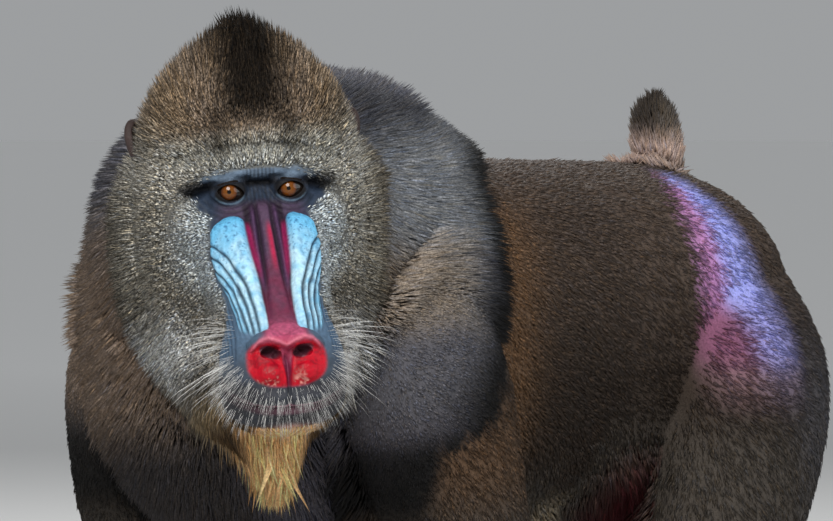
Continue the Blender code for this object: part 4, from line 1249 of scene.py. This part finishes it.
growth = {
    # on the body, the cape, the head and the beard: tufts on a square metre, the width of one,
    # how strongly it is banded, and how light its root is, which is painted shade at the roots
    "many": (255000.0, 385000.0, 1000000.0, 860000.0),
    "width": (0.0017, 0.00115, 0.00084, 0.00080),
    "banding": (0.18, 0.26, 1.0, 0.55),
    "rootShade": (0.92, 0.76, 0.30, 0.70),
    "tail": {"many": 800000.0, "length": 0.021, "depth": 0.012, "banding": 0.15, "rootShade": 0.80},
    "fringe": {"length": 0.024, "depth": 0.021},
    "groin": {"length": 0.038, "depth": 0.024},
    "hand": {"length": 0.007, "width": 0.0011, "many": 1.2},
    "limbShare": 0.38,  # how thickly the lower limbs are covered, against the body
    # painted shade: the skin under the coat is darkened, most under the head's hair
    "under": (0.98, 0.72, 0.42),  # how light the skin is under the body's coat, the cape's and the head's
}


# How the coat grows at each point of a skin: depth, lie, colour, length, width, how many.
def coatPlan(points, normals, tips, bare):
    g = bodyZones(points)
    headMask, cape, tail, hand = g.head, g.cape, g.tail, g.hand
    x, y, z, hx, hy, hz = g.x, g.y, g.z, g.hx, g.hy, g.hz
    long = np.maximum(headMask, np.maximum(cape, tail))

    depth = np.zeros(len(points))
    wanted = (headMask > 0.02) | (cape > 0.02) | (tail > 0.02) | (np.abs(y + 0.05) < 0.12)
    for i in np.flatnonzero(wanted):
        normal = Vector(normals[i])
        hit = tips.ray_cast(Vector(points[i] + normals[i] * 0.0005), normal, 0.09)
        if hit[0] is not None and hit[1].dot(normal) > 0:
            depth[i] = hit[3]
    depth = np.clip(depth, 0.0016, mixed1(0.030, 0.055, headMask)) * (1 - 0.45 * g.furrow)
    depth = np.where(long > 0.5, depth, np.minimum(depth, 0.0030))

    # which way the hair lies
    crest = smooth(hz, 0.030, 0.075)
    beard = smooth(-hz, 0.120, 0.165)
    spread = unit(columns(hx, 0.0, hz + 0.030))
    lieHead = columns(spread[:, 0], 0.75, spread[:, 2] - 0.15) * (1 - crest - beard)[:, None]
    lieHead += columns(-0.85 * hx / 0.05, 0.30, 1.0) * crest[:, None]
    lieHead += columns(-0.70 * hx / 0.04, -0.40, -1.0) * beard[:, None]
    lieHead = lieHead @ np.array(headTurn).T
    sideways = np.clip(np.abs(x) / 0.12, 0, 1)
    down = np.where(z > 0.40, mixed1(0.75, 1.10, cape) * sideways, 1.3)
    lie = layered(
        columns(0.10 * np.sign(x) * sideways, 1.0, -down),
        ((0.0, 0.30, -1.0), np.maximum(g.arm, g.leg)),
        ((0.0, 0.0, 1.0), tail),
        ((0.0, 0.1, -1.0), smooth(-y, 0.26, 0.31) * (1 - headMask)),
        ((0.0, -1.0, -0.3), hand),
        (lieHead, headMask),
    )
    swirl = np.stack([speckle(points, 0.022, 20 + k) - 0.5 for k in range(3)], 1)
    ripple = np.stack([speckle(points, 0.007, 30 + k) - 0.5 for k in range(3)], 1)
    calm = (1 - 0.8 * beard * headMask)[:, None]
    lie = flattened(unit(lie) + (swirl * 0.35 + ripple * 0.40) * calm, normals)

    # how long it is
    length = np.where(long > 0.5, depth * 1.10 + 0.0035, 0.0115)
    upright = mixed1(mixed1(1.10, 1.04, smooth(hz, 0.01, 0.05)), 2.3, beard)
    most = mixed1(0.056, 0.078, beard)
    length = np.where(headMask > 0.5, np.clip(depth * upright + 0.0025, 0.0050, most), length)
    length = length * (1 - 0.55 * beard * headMask * smooth(np.abs(hx), 0.012, 0.034))
    length = np.where(tail > 0.5, growth["tail"]["length"], length)
    fringe = fade(z, 0.325, 0.345) * smooth(y, -0.08, 0.0) * fade(y, 0.20, 0.23)
    fringe = fringe * fade(np.abs(x), 0.08, 0.10) * smooth(z, 0.30, 0.31)
    length = mixed1(length, growth["fringe"]["length"], fringe)
    depth = mixed1(depth, growth["fringe"]["depth"], fringe)
    depth = np.where(tail > 0.5, growth["tail"]["depth"], depth)
    pointed = np.minimum(length, np.maximum(hz + 0.226 - 1.3 * np.abs(hx), 0.012))
    length = mixed1(length, pointed, beard * headMask)
    falling = np.clip(np.sum(unit(lieHead) * normals, axis=1) + 0.10, 0.12, 1.0)
    depth = mixed1(depth, length * falling, beard * headMask)
    groin = groinMask(g)
    length = mixed1(length, growth["groin"]["length"], groin)
    depth = mixed1(depth, growth["groin"]["depth"], groin)
    aside = cape * smooth(-x, 0.10, 0.15) * smooth(y, -0.20, -0.14)
    length = mixed1(length, depth * 1.10 + 0.004, aside)
    length = np.where(hand > 0.3, growth["hand"]["length"], length)

    def grown(key):
        short, mane, crown, chin = growth[key]
        return mixed1(mixed1(short, mane, cape), mixed1(crown, chin, beard), headMask)

    def shaded(key):
        short, mane, crown, chin = growth[key]
        own = mixed1(mixed1(mixed1(short, mane, cape), crown, headMask), chin, beard * headMask)
        return mixed1(own, growth["tail"][key], tail)

    many = grown("many") * (1 - smooth(-hz, 0.160, 0.170) * (hy < 0.036) * headMask)
    many = np.where(tail > 0.5, growth["tail"]["many"], many) * (1 - bare)
    many = many * (1 - 0.25 * g.rump) * (1 - g.pads) * (z > 0.022)
    many = many * mixed1(1.0, growth["limbShare"], smooth(0.37 - z, 0.0, 0.07))
    many = np.where(hand > 0.3, many * growth["hand"]["many"] * smooth(z, 0.022, 0.05), many)
    return SimpleNamespace(
        depth=depth, lie=lie, tone=coatColours(g), length=length, many=many, zones=g,
        width=np.where(hand > 0.3, growth["hand"]["width"], grown("width")), head=headMask, cape=cape,
        banding=shaded("banding"), rootShade=shaded("rootShade"),
    )


# Roots spread over a mesh as thickly as its plan asks, with all the plan's values.
def sampledRoots(mesh, points, normals, plan):
    corners = trianglesOf(mesh)
    a, b, c = (points[corners[:, k]] for k in range(3))
    areas = 0.5 * np.linalg.norm(np.cross(b - a, c - a), axis=1)
    weights = areas * plan.many[corners].mean(axis=1)
    count = int(weights.sum())
    chosen = dice.choice(len(corners), count, p=weights / weights.sum())
    r1, r2 = np.sqrt(dice.random(count)), dice.random(count)
    share = np.stack([1 - r1, r1 * (1 - r2), r1 * r2], 1)
    pick = corners[chosen]

    def at(values):
        weight = share if values.ndim == 1 else share[..., None]
        return (values[pick] * weight).sum(axis=1)

    kept = ("depth", "lie", "tone", "length", "width", "head", "banding", "rootShade")
    roots = {name: at(getattr(plan, name)) for name in kept}
    return roots | {"place": at(points), "normal": unit(at(normals))}


def joinedRoots(*groups):
    return {name: np.concatenate([group[name] for group in groups]) for name in groups[0]}


charts = {
    # the middle of a region and the axis that its skin is unrolled round
    "head": ((0.098, -0.368, 0.545), (0.0, 0.0, 1.0), 0.36),
    "body": ((0.0, -0.02, 0.485), (0.0, 1.0, 0.0), 0.90),
    "armLeft": ((0.138, -0.19, 0.25), (0.0, 0.0, 1.0), 0.60),
    "armRight": ((-0.138, -0.20, 0.25), (0.0, 0.0, 1.0), 0.60),
    "legLeft": ((0.115, 0.24, 0.25), (0.0, 0.0, 1.0), 0.60),
    "legRight": ((-0.115, 0.26, 0.25), (0.0, 0.0, 1.0), 0.60),
}


def unrolled(places, chart):
    middle, axis, tall = charts[chart]
    first = np.cross(axis, (1.0, 0.0, 0.0))
    first = first / np.linalg.norm(first)
    second = np.cross(axis, first)
    off = places - np.array(middle)
    around = np.arctan2(off @ first, off @ second) / (2 * math.pi) + 0.5
    return np.stack([0.01 + 0.98 * around, np.clip(0.5 + off @ np.array(axis) / tall, 0.01, 0.99)], 1)


# One joined mesh of many hairs. Each has the same faces over its own points, and its own patch
# of the OFBake map.
def hairPiece(name, points, faces, tones, starts, chart, patch, material, flat=False):
    count, each = points.shape[:2]
    corners = np.concatenate(faces)
    firsts = np.cumsum([0] + [len(face) for face in faces[:-1]])
    hair = np.arange(count)[:, None]
    order = (corners + hair * each).ravel()
    mesh = bpy.data.meshes.new(name)
    mesh.vertices.add(count * each)
    mesh.vertices.foreach_set("co", points.astype(np.float32).ravel())
    mesh.loops.add(len(order))
    mesh.loops.foreach_set("vertex_index", order.astype(np.int32))
    mesh.polygons.add(count * len(faces))
    mesh.polygons.foreach_set("loop_start", (firsts + hair * len(corners)).ravel().astype(np.int32))
    mesh.update(calc_edges=True)
    mesh.validate()
    paintPoints(mesh, "tint", tones)
    spots = (unrolled(starts, chart)[:, None, :] + patch[None]).reshape(-1, 2)
    layer = mesh.uv_layers.new(name="OFBake")
    layer.uv.foreach_set("vector", spots[order].astype(np.float32).ravel())
    return finished(linked(name, mesh), material, flat=flat)


tuft = {
    "belly": 0.50,  # how far up a tuft is widest
    "swell": 0.45,
    "roll": 0.30,
    "sink": 0.0012,
    "arch": 0.40,  # how much it rises first and lies down after
    "patch": 0.003,
    "faces": ((0, 1, 2), (3, 2, 1), (0, 3, 1), (0, 2, 3)),
    "tints": (0.002, 0.95),  # the darkest and the lightest
}


# Closed tufts of hair, pointed at both ends, in one joined mesh. Each has its own colours.
def plantTufts(name, roots, chart, material):
    p, n, lie = roots.place, roots.normal, roots.lie
    count = len(p)
    lie = flattened(lie, n)
    across = np.cross(lie, n)
    length = roots.length * dice.uniform(0.78, 1.10, count)
    calm = 1 / (1 + roots.length / 0.02)
    rise = np.clip(roots.depth / roots.length, 0.12, 0.95 + 0.047 * smooth(roots.length, 0.03, 0.06))
    lean = np.arcsin(rise) + dice.normal(0, 0.12, count) * calm
    turn = dice.normal(0, 0.20, count) * calm
    lie = lie * np.cos(turn)[:, None] + across * np.sin(turn)[:, None]
    across = np.cross(lie, n)
    ahead = lie * (np.cos(lean) * length)[:, None]
    upward = n * (np.sin(lean) * length)[:, None]
    bend = across * (dice.normal(0, 0.08, count) * length)[:, None]
    half = (roots.width * dice.uniform(0.7, 1.3, count) / 2)[:, None]

    def at(share):
        rising = (1 + tuft["arch"]) * share - tuft["arch"] * share**2
        return p - n * tuft["sink"] + ahead * share + upward * rising + bend * share**2

    outward = unit(n * np.cos(lean)[:, None] - lie * np.sin(lean)[:, None])
    roll = dice.normal(0, tuft["roll"], count)[:, None] * (chart != "head")
    edge = (across * np.cos(roll) + outward * np.sin(roll)) * half
    top = at(tuft["belly"]) + outward * half * tuft["swell"]
    points = np.stack([at(0.0), top + edge, top - edge, at(1.0)], 1)

    # hair is darkened at the root with painted shade, banded on the way and pale or dark at the tip
    fleck = dice.random(count)
    light = np.where(fleck > 0.55, dice.uniform(1.25, 2.10, count), dice.uniform(0.30, 0.90, count))
    light = (1 + (light - 1) * roots.banding)[:, None]
    warm = np.array((1.06, 1.0, 0.90)) ** dice.normal(0, 0.7, (count, 1))
    side = roots.tone * mixed1(0.80, light, 0.7) * warm
    # painted shade at the root, standing for the shade among the hairs
    deep = roots.tone * roots.rootShade[:, None]
    painted = np.stack([deep, side, side, roots.tone * light * warm * 1.1], 1).reshape(-1, 3)
    patch = np.array([(0, -1), (1, 0), (-1, 0), (0, 1)]) * tuft["patch"] / 2
    tones = np.clip(painted, *tuft["tints"])
    return hairPiece(name, points, tuft["faces"], tones, p, chart, patch, material, chart != "head")


# An eyeball with a raised cornea, turned to look at the viewer.
def makeEye(side, material):
    bm = bmesh.new()
    bmesh.ops.create_uvsphere(bm, u_segments=64, v_segments=48, radius=eyes["radius"])
    edge, rise = eyes["cornea"]
    for vert in bm.verts:
        off = math.hypot(vert.co.x, vert.co.y)
        if vert.co.z > 0 and off < edge:
            vert.co.z += rise * (1 - (off / edge) ** 2)
    place = Matrix.Translation(eyeCentre(side)) @ gazeTurn(side)
    bmesh.ops.transform(bm, matrix=place, verts=bm.verts)
    piece = objectFrom(f"eye_ball_{sideNames[side]}", bm)
    return finished(piece, material, [f"eye_{sideNames[side]}"])


def gazeTurn(side):
    towards = cameraSpot() - eyeCentre(side)
    return towards.to_track_quat("Z", "Y").to_matrix().to_4x4()


def eyeMaterial(side):
    sheet = Sheet("eye", Roughness=0.6, Specular_IOR_Level=0.0, Coat_Weight=0.8, Coat_Roughness=0.01)
    back = (Matrix.Translation(origin) @ Matrix.Translation(eyeCentre(side)) @ gazeTurn(side)).inverted()
    mapping = {"Vector": sheet.place(), "Location": back.to_translation(), "Rotation": back.to_euler()}
    spot = sheet.add("ShaderNodeMapping", None, mapping)
    x, y, z = (sheet.add("ShaderNodeSeparateXYZ", None, {"Vector": spot}, axis) for axis in "XYZ")
    reach = (x * x + y * y) ** 0.5 * 1000
    angle = sheet.add("ShaderNodeMath", {"operation": "ARCTAN2"}, {0: y, 1: x})
    spoke = sheet.add("ShaderNodeCombineXYZ", None, {0: angle * 3.2, 1: reach * 0.12, 2: 0.0})
    rays = sheet.noise(3.2, 5.0, spoke)
    iris = sheet.add("ShaderNodeValToRGB", {"stops": eyes["iris"]}, {"Fac": reach / eyes["irisReach"]})
    tone = sheet.shade(iris, rays * 1.2 + 0.42)
    front = sheet.add("ShaderNodeMath", {"operation": "GREATER_THAN"}, {0: z, 1: 0.0})
    return sheet.into(Base_Color=sheet.blend(eyes["back"], tone, front))


ear = {
    "at": (0.068, 0.086, 0.030),
    "shell": (0.0145, 0.0068, 0.0245),
    "cup": (0.0118, 0.0082, 0.0205),
    "fold": ((-0.007, -0.001, -0.013), (-0.003, 0.0, -0.003), (0.003, 0.0, 0.008), (0.008, -0.001, 0.014)),
    "tone": colour(62, 50, 48),
    "lean": (24, -38),  # outwards, and round its height
}


# A short upright ear: a shell with its cup, rim and inner fold.
def makeEar(side, material):
    outwards, about = (side * math.radians(angle) for angle in ear["lean"])
    turn = headTurn.to_4x4() @ (Matrix.Rotation(outwards, 4, "Y") @ Matrix.Rotation(about, 4, "Z"))
    local = turn.to_3x3()
    x, y, z = ear["at"]
    centre = onHead(side * x, y, z)
    shell = ball(centre, ear["shell"], 4, turn)
    cutAway(shell, [ball(centre + local @ Vector((0, -0.0070, 0.002)), ear["cup"], 4, turn)])
    fold = [centre + local @ Vector((side * x, y, z)) for x, y, z in ear["fold"]]
    fold = bead(fold, 0.0022, local @ Vector((0, 1, 0)))
    piece = fused(f"ear_shell_{sideNames[side]}", [shell, fold], 0.0008, 4)
    points = pointsOf(piece.data)
    deep = speckle(points, 0.006, 9)[:, None]
    paintPoints(piece.data, "tint", ear["tone"] * (0.7 + 0.6 * deep))
    paintPoints(piece.data, "dry", np.full(len(points), 0.5))
    return finished(piece, material, [f"ear_{sideNames[side]}"])


def makeNails(material):
    bm = bmesh.new()
    for side in (1, -1):
        for line, radius in digitLines(side):
            tip, before = Vector(line[-1]), Vector(line[-2])
            along = (tip - before).normalized()
            size = radius * 0.55
            made = bmesh.ops.create_uvsphere(bm, u_segments=14, v_segments=10, radius=1.0)["verts"]
            turn = along.to_track_quat("Y", "Z").to_matrix().to_4x4()
            place = Matrix.Translation(tip + along * size * 0.45 + Vector((0, 0, size * 0.55))) @ turn
            place = place @ Matrix.Rotation(math.radians(-14), 4, "X")
            place = place @ Matrix.Diagonal((size * 0.86, size * 1.7, size * 0.42, 1))
            bmesh.ops.transform(bm, matrix=place, verts=made)
    for vert in bm.verts:
        vert.co.z = max(vert.co.z, 0.0004)
    return finished(objectFrom("nails", bm), material)


hairs = {
    "reach": 0.246,  # none stands further out than this
    "droop": 0.25,
    # where stiff white hairs stand on the muzzle: number, shortest, longest, width at the root
    "lip": (400, 0.005, 0.012, 0.00020),
    "side": (170, 0.010, 0.032, 0.00020),
    "chin": (330, 0.005, 0.011, 0.00020),
    "whiskers": (30, 0.034, 0.052, 0.00040),
}


# Single stiff hairs as thin closed tapered bars.
def plantBristles(starts, directions, lengths, widths, tones, material):
    n = unit(directions)
    side = unit(np.cross(n, (0.13, 0.21, 1.0)))
    up = np.cross(side, n)

    def at(share):
        centre = starts + n * (lengths * share)[:, None]
        centre[:, 2] -= hairs["droop"] * lengths * share**2
        return centre

    rows = []
    for share in (0.0, 0.35, 0.70):
        size = (widths * (1 - 0.55 * share) / 2)[:, None]
        for k in range(3):
            angle = 2 * math.pi * k / 3
            rows.append(at(share) + (side * math.cos(angle) + up * math.sin(angle)) * size)
    rows.append(at(1.0))
    faces = [(0, 2, 1)]
    for low in (0, 3):
        for k in range(3):
            m = (k + 1) % 3
            faces.append((low + k, low + m, low + 3 + m, low + 3 + k))
    faces += [(6, 7, 9), (7, 8, 9), (8, 6, 9)]
    patch = np.array([(k % 3 - 1, k // 3 - 1.5) for k in range(9)] + [(0, 1.5)]) * 0.001
    tones = np.repeat(tones, len(rows), axis=0)
    hairPiece("bristles", np.stack(rows, 1), faces, tones, starts, "head", patch, material)


# White bristles round the mouth, and the long whiskers.
def muzzleHairs(face, field, material):
    points = pointsOf(face.data)
    normals = normalsOf(face.data)
    h = toHead(points)
    s, u, wide = field.s, field.u, field.wide
    mouthU = -snout["mouthDepth"]
    bare = field.bare > 0.6
    places = {
        "lip": bare & (s > 0.128) & (u > mouthU + 0.005) & (u < mouthU + 0.020) & (field.pad < 0.1),
        "side": (s > 0.096) & (s < 0.152) & (wide > 0.030) & (u > mouthU + 0.001) & (u < mouthU + 0.028),
        "chin": (s > 0.108) & (u < mouthU - 0.002) & (u > mouthU - 0.021),
        "whiskers": (s > 0.105) & (s < 0.145) & (wide > 0.036) & (u > mouthU + 0.004) & (u < mouthU + 0.022),
    }
    gathered = []
    for name, where in places.items():
        count, short, long, width = hairs[name]
        found = np.flatnonzero(where)
        pick = dice.choice(found, count)
        back = 0.75 if name == "whiskers" else 0.25
        away = unit(np.stack([h[pick, 0], np.zeros(count), h[pick, 2] + 0.100], 1))
        out = away + np.array((0.0, back, -0.25))
        out = unit(out + dice.normal(0, 0.17, (count, 3))) @ np.array(headTurn).T
        share = 0.62 if name == "whiskers" else 0.75
        way = unit(normals[pick] * (1 - share) + out * share)
        lengths = dice.uniform(short, long, count)
        lengths = np.minimum(lengths, (hairs["reach"] - points[pick, 0]) / np.maximum(way[:, 0], 0.05))
        shade = dice.uniform(0.45, 0.95, (count, 1))
        tone = np.array((1.0, 1.0, 0.98)) * shade
        gathered.append((points[pick], way, lengths, np.full(count, width), tone))
    starts, ways, lengths, widths, tones = (np.concatenate(group) for group in zip(*gathered))
    plantBristles(starts, ways, lengths, widths, tones, material)


view = {
    "azimuth": 38.5,
    "elevation": 1.5,
    "distance": 3.2,
    "lens": 203.0,
    "eyePixel": (260.5, 190.3),
    "size": (833, 521),
}


def viewAxes():
    a, e = math.radians(view["azimuth"]), math.radians(view["elevation"])
    forward = Vector((-math.sin(a) * math.cos(e), math.cos(a) * math.cos(e), -math.sin(e)))
    right = Vector((math.cos(a), math.sin(a), 0))
    return forward, right, right.cross(forward)


def cameraSpot():
    return Vector(pose["eyes"]) - viewAxes()[0] * view["distance"]


def makeCamera():
    _, right, up = viewAxes()
    wide, tall = view["size"]
    pixel = view["distance"] * 36 / view["lens"] / wide
    aim = Vector(pose["eyes"]) + right * (wide / 2 - view["eyePixel"][0]) * pixel
    aim -= up * (tall / 2 - view["eyePixel"][1]) * pixel
    data = bpy.data.cameras.new("camera")
    data.lens = view["lens"]
    data.sensor_width = 36
    data.clip_end = 60
    camera = linked("camera", data)
    camera.location = cameraSpot() + origin
    camera.rotation_euler = (aim - cameraSpot()).to_track_quat("-Z", "Y").to_euler()
    bpy.context.scene.camera = camera


lamps = {
    # place, size, power, colour
    "key": ((1.2, -2.4, 2.2), 1.6, 80.0, (1.0, 0.98, 0.95)),
    "fill": ((3.0, 0.6, 1.6), 2.4, 30.0, (0.93, 0.97, 1.0)),
    "back": ((-1.8, 2.2, 2.6), 1.8, 60.0, (1.0, 1.0, 1.0)),
}
studio = {
    "aim": (0, -0.1, 0.45),
    "sky": (0.80, 0.82, 0.84, 1),
    "skyStrength": 0.42,
    # the floor's tone near the model and far away, and from where to where it changes
    "near": (0.56, 0.56, 0.55),
    "far": (0.975, 0.975, 0.97),
    "fades": (1.5, 7.0),
    "drop": 0.0005,
}


def makeLights():
    for name, (spot, size, power, tone) in lamps.items():
        data = bpy.data.lights.new(name, "AREA")
        data.shape = "DISK"
        data.size = size
        data.energy = power
        data.color = tone
        lamp = linked(name, data)
        lamp.location = spot
        lamp.rotation_euler = (Vector(studio["aim"]) - Vector(spot)).to_track_quat("-Z", "Y").to_euler()
    world = bpy.data.worlds.new("studio")
    world.use_nodes = True
    sky = world.node_tree.nodes["Background"].inputs
    sky["Color"].default_value = studio["sky"]
    sky["Strength"].default_value = studio["skyStrength"]
    bpy.context.scene.world = world
    bpy.context.scene.view_settings.view_transform = "Standard"


def makeFloor():
    bm = bmesh.new()
    bmesh.ops.create_circle(bm, segments=96, radius=40.0, cap_ends=True)
    floor = objectFrom("floor", bm)
    floor.data.transform(Matrix.Translation((0, 0, -studio["drop"])))
    sheet = Sheet("floor", Roughness=0.75, Specular_IOR_Level=0.2)
    away = sheet.add("ShaderNodeVectorMath", {"operation": "LENGTH"}, {0: sheet.place()}, "Value")
    begins, ends = studio["fades"]
    sockets = {"Value": away, "From Min": begins, "From Max": ends}
    far = sheet.add("ShaderNodeMapRange", {"clamp": True}, sockets)
    tone = sheet.blend(studio["near"], studio["far"], far)
    floor.data.materials.append(sheet.into(Base_Color=tone))


# where one piece of the coat ends and the next begins: heights over the eyes, places along the body
parting = {"crown": 0.012, "beard": -0.125, "mane": -0.04, "rump": 0.17, "limbs": 0.36, "arms": 0.05}

print("camera, lights and floor")
makeCamera()
makeLights()
makeFloor()

print("skin")
skin = makeSkin()
print("face")
face = makeFace()
field = shapeFace(face)

print("tips of the coat")
tipsPiece = fused("tips", bodyForms(1.0, 0.0) + [headForm(1.0)], 0.006, 2)
tips = surfaceOf(tipsPiece)
dropped([tipsPiece])

coat = coatMaterial("coat", 1.2)
bandedCoat = coatMaterial("banded_coat", 4.2)
maneCoat = coatMaterial("mane_coat", 2.2)
bareSkin = faceMaterial()

print("colours of the face")
facePoints, faceNormals = pointsOf(face.data), normalsOf(face.data)
facePlan = coatPlan(facePoints, faceNormals, tips, field.bare)
bareTone = faceColours(facePoints, field)
# under its hair the face's skin takes the coat's colour darkened to 0.40, painted shade beneath the hair
paintPoints(face.data, "tint", mixed(facePlan.tone * 0.40, bareTone, field.bare))
dry = 0.50 - 0.10 * field.plateau - 0.16 * field.pad - 0.06 * field.lips
paintPoints(face.data, "dry", mixed1(0.75, dry, field.bare))

# hair by the bare face is short and fine, and grows longer away from it
_, faceDepth, faceHeight = toHead(facePoints).T
distance = smooth(faceDepth, 0.0, 0.05)
bearded = smooth(-field.z, 0.142, 0.160)
fold = bump(faceHeight, 0.029, 0.013) * (1 - field.bare)
between = (field.wide < 0.022) & (field.z < 0.0125) & (field.z > -0.030)
facePlan.length = np.minimum(facePlan.length, 0.0055 + 0.020 * distance + 0.060 * bearded)
facePlan.depth = np.minimum(facePlan.depth, facePlan.length * mixed1(0.42, 0.95, distance))
facePlan.length = mixed1(facePlan.length, 0.0095, fold)
facePlan.depth = mixed1(facePlan.depth, 0.0055, fold)
facePlan.depth = np.maximum(facePlan.depth, 0.0036 * (1 - distance))
facePlan.width = mixed1(0.0008, 0.0012, distance)
facePlan.many = facePlan.many * mixed1(1.7, 1.0, distance) * (faceDepth < head["faceBack"] - 0.001)
facePlan.many = np.where(between, 0.0, facePlan.many)

print("colours of the body")
skinPoints, skinNormals = pointsOf(skin.data), normalsOf(skin.data)
covered = (toHead(skinPoints)[:, 1] < head["faceBack"] - 0.005) & (bodyZones(skinPoints).head > 0.5)
skinPlan = coatPlan(skinPoints, skinNormals, tips, covered.astype(float))
# the skin is painted darker under the coat, as painted shade beneath the hair
bodyUnderShade, capeUnderShade, headUnderShade = growth["under"]
under = mixed1(mixed1(bodyUnderShade, capeUnderShade, skinPlan.cape), headUnderShade, skinPlan.head)[:, None]
paintPoints(skin.data, "tint", rumpColours(skinPlan.zones, skinPlan.tone * under))

print("coat")
roots = joinedRoots(
    sampledRoots(face.data, facePoints, faceNormals, facePlan),
    sampledRoots(skin.data, skinPoints, skinNormals, skinPlan),
)
x, y, z = roots["place"].T
hx, _, hz = toHead(roots["place"]).T
isHead = roots["head"] > 0.5
cheek = isHead & (hz <= parting["crown"]) & (hz > parting["beard"])
trunk = ~isHead & (z > parting["limbs"])
limbs = ~isHead & (z <= parting["limbs"])
mane, arms = y < parting["mane"], y < parting["arms"]
regions = (
    ("coat_crown", "head", bandedCoat, isHead & (hz > parting["crown"])),
    ("coat_cheek_left", "head", bandedCoat, cheek & (hx > 0)),
    ("coat_cheek_right", "head", bandedCoat, cheek & (hx <= 0)),
    ("coat_beard", "head", coat, isHead & (hz <= parting["beard"])),
    ("coat_mane_left", "body", maneCoat, trunk & mane & (x > 0)),
    ("coat_mane_right", "body", maneCoat, trunk & mane & (x <= 0)),
    ("coat_back", "body", coat, trunk & ~mane & (y < parting["rump"])),
    ("coat_rump", "body", coat, trunk & (y >= parting["rump"])),
    ("coat_arm_left", "armLeft", coat, limbs & arms & (x > 0)),
    ("coat_arm_right", "armRight", coat, limbs & arms & (x <= 0)),
    ("coat_leg_left", "legLeft", coat, limbs & ~arms & (x > 0)),
    ("coat_leg_right", "legRight", coat, limbs & ~arms & (x <= 0)),
)
for name, chart, hair, where in regions:
    own = SimpleNamespace(**{key: values[where] for key, values in roots.items()})
    plantTufts(name, own, chart, hair)

print("bristles, eyes, ears and nails")
muzzleHairs(face, field, coat)
for side in (1, -1):
    makeEye(side, eyeMaterial(side))
    makeEar(side, bareSkin)
makeNails(nailMaterial())

# the face is thinned once its relief, its colours and the hair on it are in place
decimated(face, min(1.0, snout["mostTriangles"] / len(trianglesOf(face.data))))

fleshNodes = [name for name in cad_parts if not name.startswith(("eye", "ear"))]
finished(skin, underMaterial(), fleshNodes)
finished(face, bareSkin)
